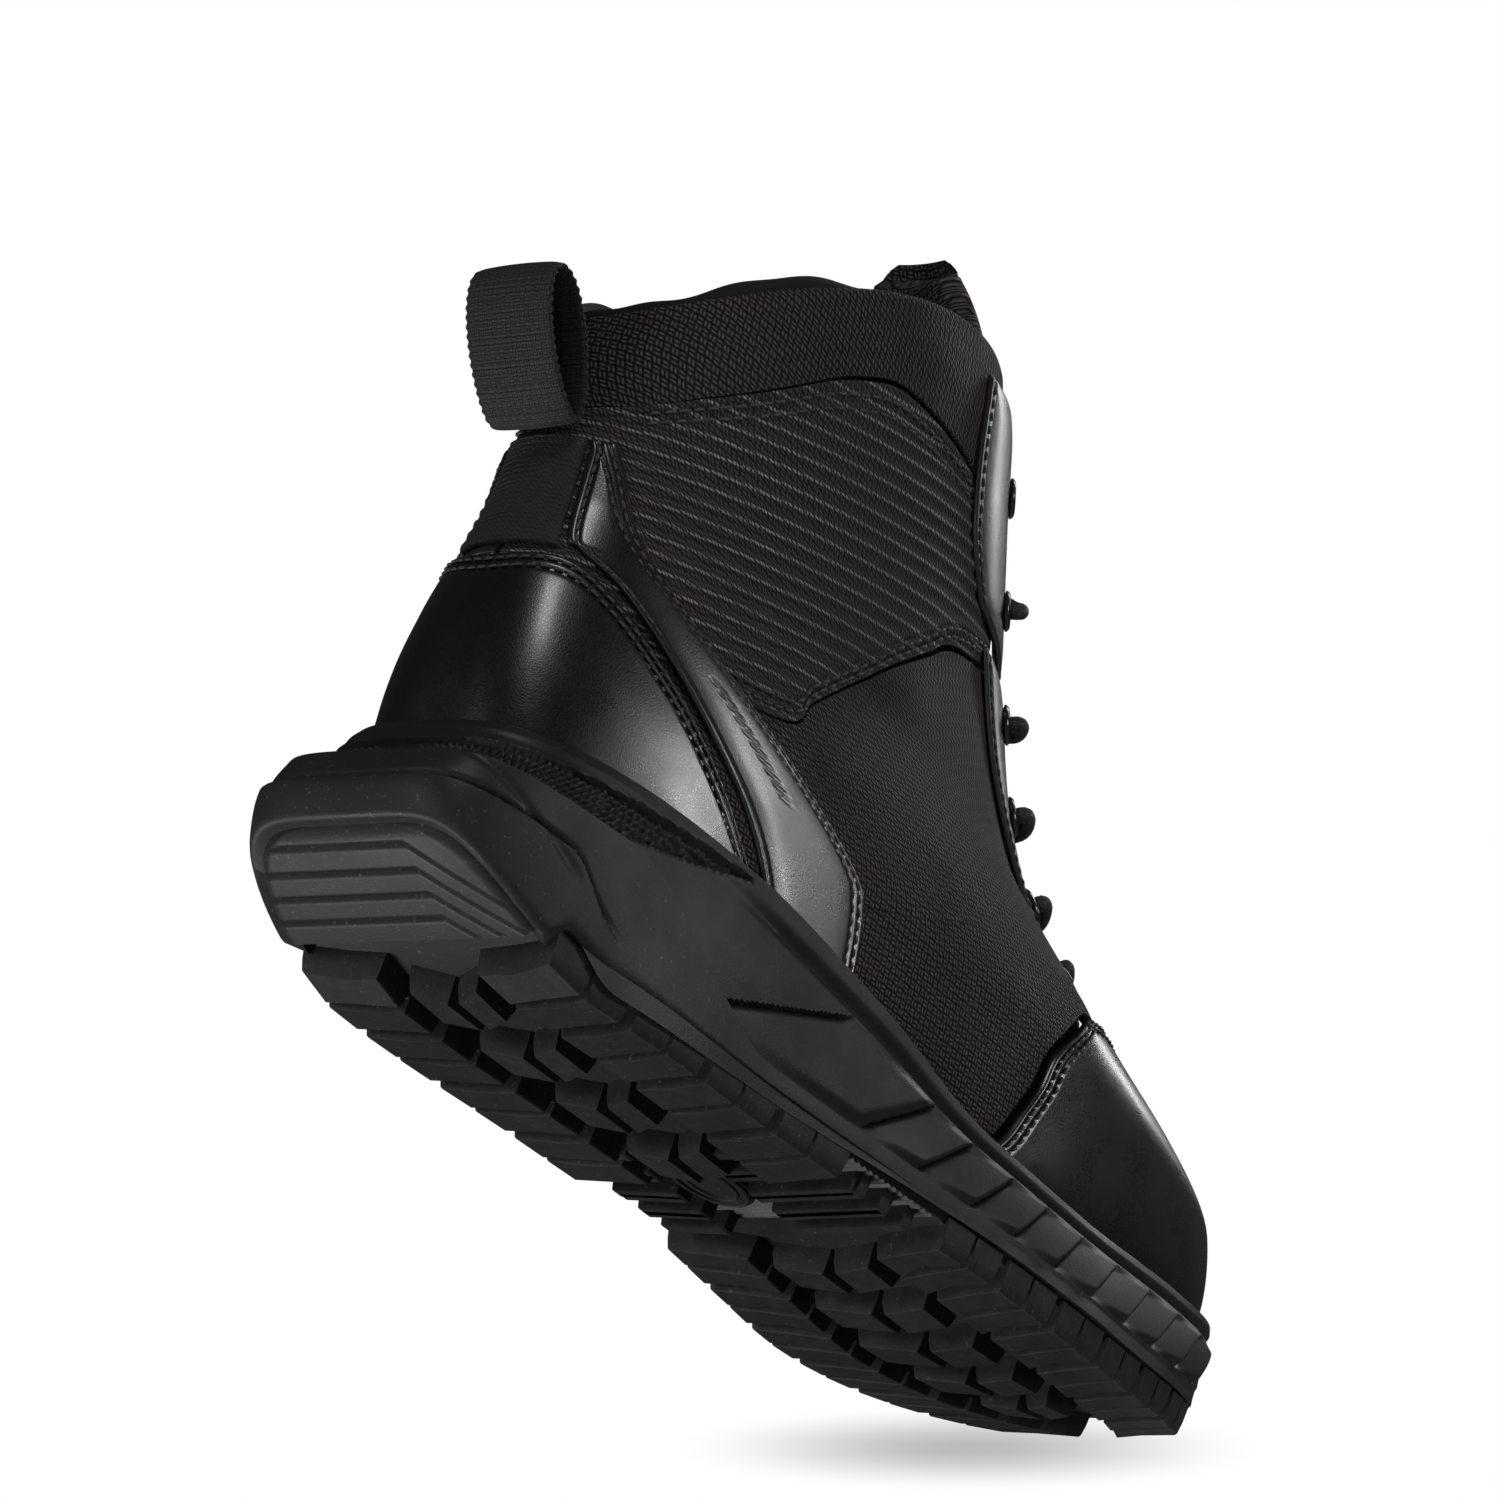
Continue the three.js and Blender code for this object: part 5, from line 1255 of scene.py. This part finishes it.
# ---- tongue
tongue = {"low": 4.4, "high": 10.2, "outer": -3.0, "inner": -5.6, "puff": 1.0, "topPuff": 5.2,
          "edge": 4.0, "levels": (4.4, 7.5, 8.4, 9.1, 10), "halves": (0.09, 0.092, 0.098, 0.085, 0.06),
          "tipFrom": 9.55, "tipLength": 0.67, "fatFrom": 7.95, "fatFull": 8.7}


def tongueShell():
    # strip up the front, its sides and tip rounded down, fat above the lacing
    a = np.linspace(-1, 1, 70)[None, :]
    v = np.linspace(tongue["low"], tongue["high"], 150)[:, None]
    beyond = np.clip(v - tongue["tipFrom"], 0, 2) / tongue["tipLength"]
    tip = np.sqrt(np.clip(1 - beyond ** 2.4, 0.0, 1))
    half = through(tongue["levels"], tongue["halves"], v) * (0.25 + 0.75 * tip)
    s = 0.5 + half * a
    past = np.clip(v - 10, 0, 1)[..., None] * (lastPoint(s, 10.0) - lastPoint(s, 9.9)) * 10
    ground = lastPoint(s, v + 0 * a) + past
    reach = edgeDistances(ground)
    nearest = np.minimum.reduce([reach["left"], reach["right"], reach["top"]])
    crown = np.sqrt(1 - (1 - np.clip(nearest / tongue["edge"], 0, 1)) ** 2)
    fat = smoothed(v, tongue["fatFrom"], tongue["fatFull"])
    puff = tongue["puff"] + (tongue["topPuff"] - tongue["puff"]) * fat
    outer = tongue["outer"] + puff * (0.15 + 0.85 * crown)
    outer = outer + channel(nearest, 5.2, 0.8, 0.8) * fat
    inner = tongue["inner"] - 2.4 * fat * crown + 1.2 * (1 - crown)
    shell = slab(offsetPoint(s, v + 0 * a, outer) + past, offsetPoint(s, v + 0 * a, inner) + past)
    flat = clothUV(s, v + 0 * a)
    flat[..., 1] += np.linalg.norm(past, axis=-1)
    return shell, flat.reshape(-1, 2)


tongueMade, tongueUV = tongueShell()
tonguePiece = addPiece("tongue_padded", tongueMade, finishes["nylon"],
                       ["tongue", "tongue_top"], np.concatenate([tongueUV, tongueUV]), body=None)
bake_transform(tonguePiece)

# ---- eyelets, lace and aglets
eyelet = {"levels": (8.3, 7.55, 6.75, 6.05, 5.3, 4.55), "around": 0.395, "sides": 28,
          "profile": ((0.0, 0.9), (2.3, 0.9), (2.4, 2.5), (2.7, 3.0), (3.4, 3.25), (4.1, 3.1),
                      (4.7, 2.55), (4.8, 2.1), (4.3, 1.9), (0.0, 0.3))}


def eyeletShell(s, v, foot=1.75):
    # a turned profile standing along the leather's normal
    axis = lastNormal(s, v)
    first = unit(np.cross(axis, (0.0, 0.0, 1.0)))
    second = np.cross(axis, first)
    turn = np.linspace(0, 2 * np.pi, eyelet["sides"], endpoint=False)
    circle = first * np.cos(turn)[:, None] + second * np.sin(turn)[:, None]
    profile = np.array(eyelet["profile"])
    middle = profile[1:-1]
    rings = offsetPoint(s, v, foot) + middle[:, None, :1] * circle[None] + middle[:, None, 1:] * axis
    ends = offsetPoint(s, v, foot) + profile[[0, -1], 1:] * axis
    n, rows = eyelet["sides"], len(middle)
    faces = gridFaces(rows, n, closedCols=True)[:, ::-1].tolist()
    top = (rows - 1) * n
    for here in range(n):
        after = (here + 1) % n
        faces += [[rows * n, here, after], [rows * n + 1, top + after, top + here]]
    return np.concatenate([rings.reshape(-1, 3), ends]), faces


for side, around in (("lateral", eyelet["around"]), ("medial", 1 - eyelet["around"])):
    rings = joined([eyeletShell(around, v) for v in eyelet["levels"]])
    addPiece(f"eyelets_{side}", rings, finishes["enamel"],
             [f"eyelet_{side}_{k}" for k in range(1, 7)], sharp=50)

lace = {"radius": 1.95, "outside": 6.9, "under": -0.6, "centre": -0.1, "strand": 1.7, "relief": 0.11,
        "inside": 0.43, "over": (3.6, 6.9), "sides": 22, "step": 0.6}


def laceHalf(side):
    # from the aglet up the middle of the tongue, then down through five pairs of eyelets
    def at(s, v, d):
        return offsetPoint(s if side > 0 else 1 - s, v, d)

    laced = eyelet["levels"][1:]
    out, around = lace["outside"], eyelet["around"]
    points = [at(0.481, 3.66, 5.2), at(0.481, 4.0, 4.4), at(0.486, 4.4, 1.2)]
    points += [at(0.486, v, lace["centre"]) for v in (5, 6, 7)]
    points += [at(0.482, laced[0] + 0.15, lace["centre"]), at(0.455, laced[0] + 0.3, 4.2),
               at(0.425, laced[0] + 0.15, out)]
    for k, v in enumerate(laced):
        flip = k % 2 == 1
        hole = 1 - around if flip else around
        points += [at(hole, v, d) for d in (out, 4.2, 2.2, lace["under"] + 0.3)]
        if k + 1 < len(laced):
            step = laced[k + 1] - v
            start = 1 - lace["inside"] if flip else lace["inside"]
            over = lace["over"][0 if side > 0 else 1]
            points += [at(start, v + step * 0.15, lace["under"]), at(0.5, v + step * 0.55, over),
                       at(1 - start, laced[k + 1] - step * 0.14, out)]
    return points


def flowing(points, per=30):
    # centripetal Catmull-Rom: knots a square root of the chord apart
    p = np.array(points)
    p = np.concatenate([[2 * p[0] - p[1]], p, [2 * p[-1] - p[-2]]])
    gap = np.linalg.norm(np.diff(p, axis=0), axis=1)[:, None] ** 0.5
    chord = np.diff(p, axis=0) / gap
    bend = (p[2:] - p[:-2]) / (gap[1:] + gap[:-1])
    m0 = (chord[:-2] - bend[:-1] + chord[1:-1]) * gap[1:-1]
    m1 = (chord[1:-1] - bend[1:] + chord[2:]) * gap[1:-1]
    q = np.linspace(0, 1, per, endpoint=False)[None, :, None]
    a, b = p[1:-2, None], p[2:-1, None]
    curve = (a * (1 + 2 * q) * (1 - q) ** 2 + b * q * q * (3 - 2 * q) + m0[:, None] * q * (1 - q) ** 2
             - m1[:, None] * q * q * (1 - q))
    return np.concatenate([curve.reshape(-1, 3), p[-2:-1]])


def evenly(points, step):
    lengths = walked(points)
    where = np.linspace(0, lengths[-1], int(lengths[-1] / step) + 1)
    return np.stack([np.interp(where, lengths, points[:, k]) for k in range(3)], axis=-1), where


lastBar = [offsetPoint(s, eyelet["levels"][-1] - 0.05, lace["under"]) for s in (0.44, 0.5, 0.56)]
lacePath, laceRun = evenly(flowing(laceHalf(1) + lastBar + laceHalf(-1)[::-1]), lace["step"])
turn = np.linspace(0, 2 * np.pi, lace["sides"], endpoint=False)[None, :]
twist = np.pi * laceRun[:, None] / lace["strand"]
braid = np.maximum(np.abs(np.sin(3 * turn + twist)), np.abs(np.sin(3 * turn - twist)))
laceUV = np.stack(np.broadcast_arrays(turn * lace["radius"], laceRun[:, None]), axis=-1).reshape(-1, 2)
laceTube = tube(lacePath, lace["radius"] - lace["relief"] * 2 * (1 - braid), lace["sides"])
addPiece("lace_cord", laceTube, finishes["lace"], ["lace"],
         np.concatenate([laceUV, laceUV[:2]]))
print("lace", round(float(laceRun[-1])), "mm")

agletShape = {"radius": 1.55, "length": 17.0}
for side, name in ((1, "aglet_a"), (-1, "aglet_b")):
    s = 0.5 - side * 0.019 - side * 0.004
    start = offsetPoint(s, 3.62, 5.2)
    ahead = unit(offsetPoint(s - side * 0.004, 3.0, 4.5) - start)
    t = np.linspace(0, 1, 40)
    path = start + ahead * (t * agletShape["length"])[:, None]
    crimp = 0.12 * np.exp(-(((t[:, None] - 0.08 - np.array([0, 0.09, 0.18])) / 0.02) ** 2)).sum(axis=1)
    blunt = np.sqrt(np.clip(1 - np.clip((t - 0.93) / 0.075, 0, 1) ** 2, 0.1, 1))
    thin = agletShape["radius"] * blunt - crimp
    addPiece(f"{name}_tip", tube(path, thin[:, None], 16), finishes["enamel"],
             [name], sharp=60)

# ---- pull loop
loop = {"width": 24.0, "height": 35.0, "depth": 13.0, "thickness": 1.7, "lean": 34.0,
        "rib": 1.05, "scallop": 0.22}


def pullLoopShell():
    # a band of webbing round a tall oval, ribbed across, its selvedges slightly scalloped
    lean = np.radians(loop["lean"])
    up, out = np.array([-np.sin(lean), 0, np.cos(lean)]), np.array([-np.cos(lean), 0, -np.sin(lean)])
    seat = offsetPoint(0.0, 6.25, 3.2 + 1.6)
    turn = np.linspace(0.02, 2 * np.pi - 0.02, 420)
    fine = turn + 0.16 * np.sin(2 * turn)
    rise = (loop["height"] - loop["thickness"]) / 2 * (1 - np.cos(fine))
    wide = (loop["depth"] - loop["thickness"]) / 2 * np.sin(fine) * (0.85 + 0.3 * rise / loop["height"])
    path = seat + up * (rise + loop["thickness"] / 2)[:, None] + out * wide[:, None]
    ahead = unit(np.gradient(path, axis=0))
    face = np.cross((0.0, -1.0, 0.0), ahead)
    run = walked(path)
    w = np.linspace(1, -1, 44)[None, :]
    rib = 0.08 * np.sin(2 * np.pi * run / loop["rib"])[:, None] * (1 - w ** 8)
    half = loop["width"] / 2 + loop["scallop"] * np.sin(2 * np.pi * run / 2.1)[:, None]
    thick = loop["thickness"] / 2 * np.sqrt(np.clip(1 - np.abs(w) ** 14, 0.05, 1))
    sag = 0.5 * (1 - w ** 2)
    base = path[:, None] + np.stack([0 * w + 0 * half, w * half, 0 * w + 0 * half], axis=-1)
    outer = base + face[:, None] * (thick + rib + sag)[..., None]
    inner = base + face[:, None] * (-thick + rib * 0.6 + sag)[..., None]
    flat = np.stack(np.broadcast_arrays(w * half, run[:, None]), axis=-1).reshape(-1, 2)
    return slab(outer, inner), np.concatenate([flat, flat])


loopMade, loopUV = pullLoopShell()
addPiece("pull_loop_webbing", loopMade, finishes["webbing"], ["pull_loop"], loopUV,
         body="pull_loop")

for name, key in (("shank", "steel"), ("steel_toe_cap", "steel"), ("insole_board", "board"),
                  ("heel_counter", "board"), ("toe_cap_edging", "foamPad")):
    for materialSlot in bpy.data.objects[name].material_slots:
        materialSlot.material = finishes[key]
print("tongue, lacing and loop made")

# ---- stitching, one piece
addPiece("seam_stitching", joined(stitchRows), finishes["thread"])
print("stitches made")

# ---- light and floor
lights = [  # where from the boot along the camera's right, up and back, size in metres, watts
    {"name": "side", "at": (1.45, 0.26, 0.06), "size": (0.16, 0.3), "power": 4.2},
    {"name": "key", "at": (-1.1, 0.4, 0.9), "size": (0.4, 0.6), "power": 3.4},
    {"name": "over", "at": (0.35, 1.3, 0.62), "size": (0.3, 0.25), "power": 4.5},
    {"name": "rim", "at": (0.85, 0.5, -1.1), "size": (0.2, 0.9), "power": 4.5},
    {"name": "low", "at": (-0.9, -0.9, 0.3), "size": (0.35, 0.3), "power": 9.0},
    {"name": "heel", "at": (-0.2, -0.2, 1.5), "size": (0.3, 0.3), "power": 1.6},
]
aim = Vector((0.0, 0.0, 0.08))
for light in lights:
    lampData = bpy.data.lights.new(light["name"], "AREA")
    lampData.shape = "RECTANGLE"
    lampData.size, lampData.size_y = light["size"]
    lampData.energy = light["power"]
    lamp = bpy.data.objects.new(light["name"], lampData)
    spot = aim + Vector((np.array(light["at"]) @ cameraAxes).tolist())
    facing = (spot - aim).to_track_quat("Z", "Y").to_matrix().to_4x4()
    lamp.matrix_world = Matrix.Translation(spot) @ facing
    bpy.context.scene.collection.objects.link(lamp)

world = bpy.data.worlds.new("studio")
bpy.context.scene.world = world
world.use_nodes = True
sky = world.node_tree
sky.nodes.clear()
white = node(sky, "ShaderNodeBackground", {"Color": grey(1.0), "Strength": 1.0})
soft = node(sky, "ShaderNodeBackground", {"Color": grey(1.0), "Strength": 0.03})
seen = node(sky, "ShaderNodeLightPath").outputs["Is Camera Ray"]
blendSky = node(sky, "ShaderNodeMixShader", {0: seen, 1: soft.outputs[0], 2: white.outputs[0]})
node(sky, "ShaderNodeOutputWorld", {"Surface": blendSky.outputs[0]})
bpy.context.scene.view_settings.view_transform = "Standard"


def floorFinish():
    # pale floor, seen from above only, and no bar to the light from below
    material = bpy.data.materials.new("floorPale")
    material.use_nodes = True
    tree = material.node_tree
    shader = tree.nodes["Principled BSDF"]
    shader.inputs["Roughness"].default_value = 0.7
    coords = node(tree, "ShaderNodeTexCoord").outputs["Object"]
    tone = noise(tree, coords, 3.0, 2.0)
    tree.links.new(mixed(tree, tone, grey(0.86), grey(0.9)), shader.inputs["Base Color"])
    clear = node(tree, "ShaderNodeBsdfTransparent").outputs[0]
    behind = node(tree, "ShaderNodeNewGeometry").outputs["Backfacing"]
    path = node(tree, "ShaderNodeLightPath").outputs
    away = maths(tree, "MAXIMUM", behind, path["Is Shadow Ray"])
    # a lift the camera sees, so that the floor stays pale without lighting the boot
    lift = node(tree, "ShaderNodeEmission",
                {"Color": grey(0.9), "Strength": path["Is Camera Ray"]}).outputs[0]
    paler = node(tree, "ShaderNodeMixShader", {0: 0.5, 1: shader.outputs[0], 2: lift})
    mix = node(tree, "ShaderNodeMixShader", {0: away, 1: paler.outputs[0], 2: clear})
    tree.links.new(mix.outputs[0], tree.nodes["Material Output"].inputs["Surface"])
    return material


floorMesh = bpy.data.meshes.new("floor")
reachOfFloor = 4.0
floorMesh.from_pydata([(-reachOfFloor, -reachOfFloor, 0), (reachOfFloor, -reachOfFloor, 0),
                       (reachOfFloor, reachOfFloor, 0), (-reachOfFloor, reachOfFloor, 0)],
                      [], [(0, 1, 2, 3)])
floorMesh.materials.append(floorFinish())
floorObject = bpy.data.objects.new("floor", floorMesh)
floorObject.location.z = -0.0005
bpy.context.scene.collection.objects.link(floorObject)

shadow = {"tilt": 7.0, "long": 0.075, "deep": 0.05, "shift": -0.028, "dark": 0.5}


def shadowFinish():
    # painted contact shadow, a soft dark spot: (1 - r squared) to the power 2.2, seen from its upper
    # side only
    material = bpy.data.materials.new("contactShadow")
    material.use_nodes = True
    tree = material.node_tree
    shader = tree.nodes["Principled BSDF"]
    shader.inputs["Roughness"].default_value = 1.0
    shader.inputs["Specular IOR Level"].default_value = 0.0
    shader.inputs["Base Color"].default_value = grey(0.0)
    flat = node(tree, "ShaderNodeTexCoord").outputs["UV"]
    reach = node(tree, "ShaderNodeVectorMath", {0: flat}, operation="LENGTH").outputs["Value"]
    soft = ranged(tree, maths(tree, "MULTIPLY", reach, reach), 0.0, 1.0, 1.0, 0.0)
    spread = maths(tree, "MULTIPLY", maths(tree, "POWER", soft, 2.2), shadow["dark"])
    clear = node(tree, "ShaderNodeBsdfTransparent").outputs[0]
    behind = node(tree, "ShaderNodeNewGeometry").outputs["Backfacing"]
    share = maths(tree, "MULTIPLY", spread, maths(tree, "SUBTRACT", 1.0, behind))
    mix = node(tree, "ShaderNodeMixShader", {0: share, 1: clear, 2: shader.outputs[0]})
    tree.links.new(mix.outputs[0], tree.nodes["Material Output"].inputs["Surface"])
    return material


def contactPoint():
    # the point of the tread's rim that lies lowest along the camera's up
    x, y = soleEdge(np.linspace(0.3, 0.7, 400), 0.0)
    rim = toFrame(np.stack([x, y, groundAt(x)], axis=-1))
    return rim[np.argmin(rim @ cameraAxes[1])]


rightWay, upWay, backWay = cameraAxes
tilt = np.radians(shadow["tilt"])
acrossFloor = np.cos(tilt) * backWay - np.sin(tilt) * upWay
spot = contactPoint() + rightWay * shadow["shift"] - upWay * 0.0015
corners = [spot + a * shadow["long"] * rightWay + b * shadow["deep"] * acrossFloor
           for a, b in ((-1, 1), (1, 1), (1, -1), (-1, -1))]
shadowMesh = bpy.data.meshes.new("contact_shadow")
shadowMesh.from_pydata([corner.tolist() for corner in corners], [], [(0, 1, 2, 3)])
shadowMap = shadowMesh.uv_layers.new(name="flat")
for loopAt, corner in zip(shadowMap.data, ((-1, 1), (1, 1), (1, -1), (-1, -1))):
    loopAt.uv = corner
shadowMesh.materials.append(shadowFinish())
shadowObject = bpy.data.objects.new("contact_shadow", shadowMesh)
bpy.context.scene.collection.objects.link(shadowObject)
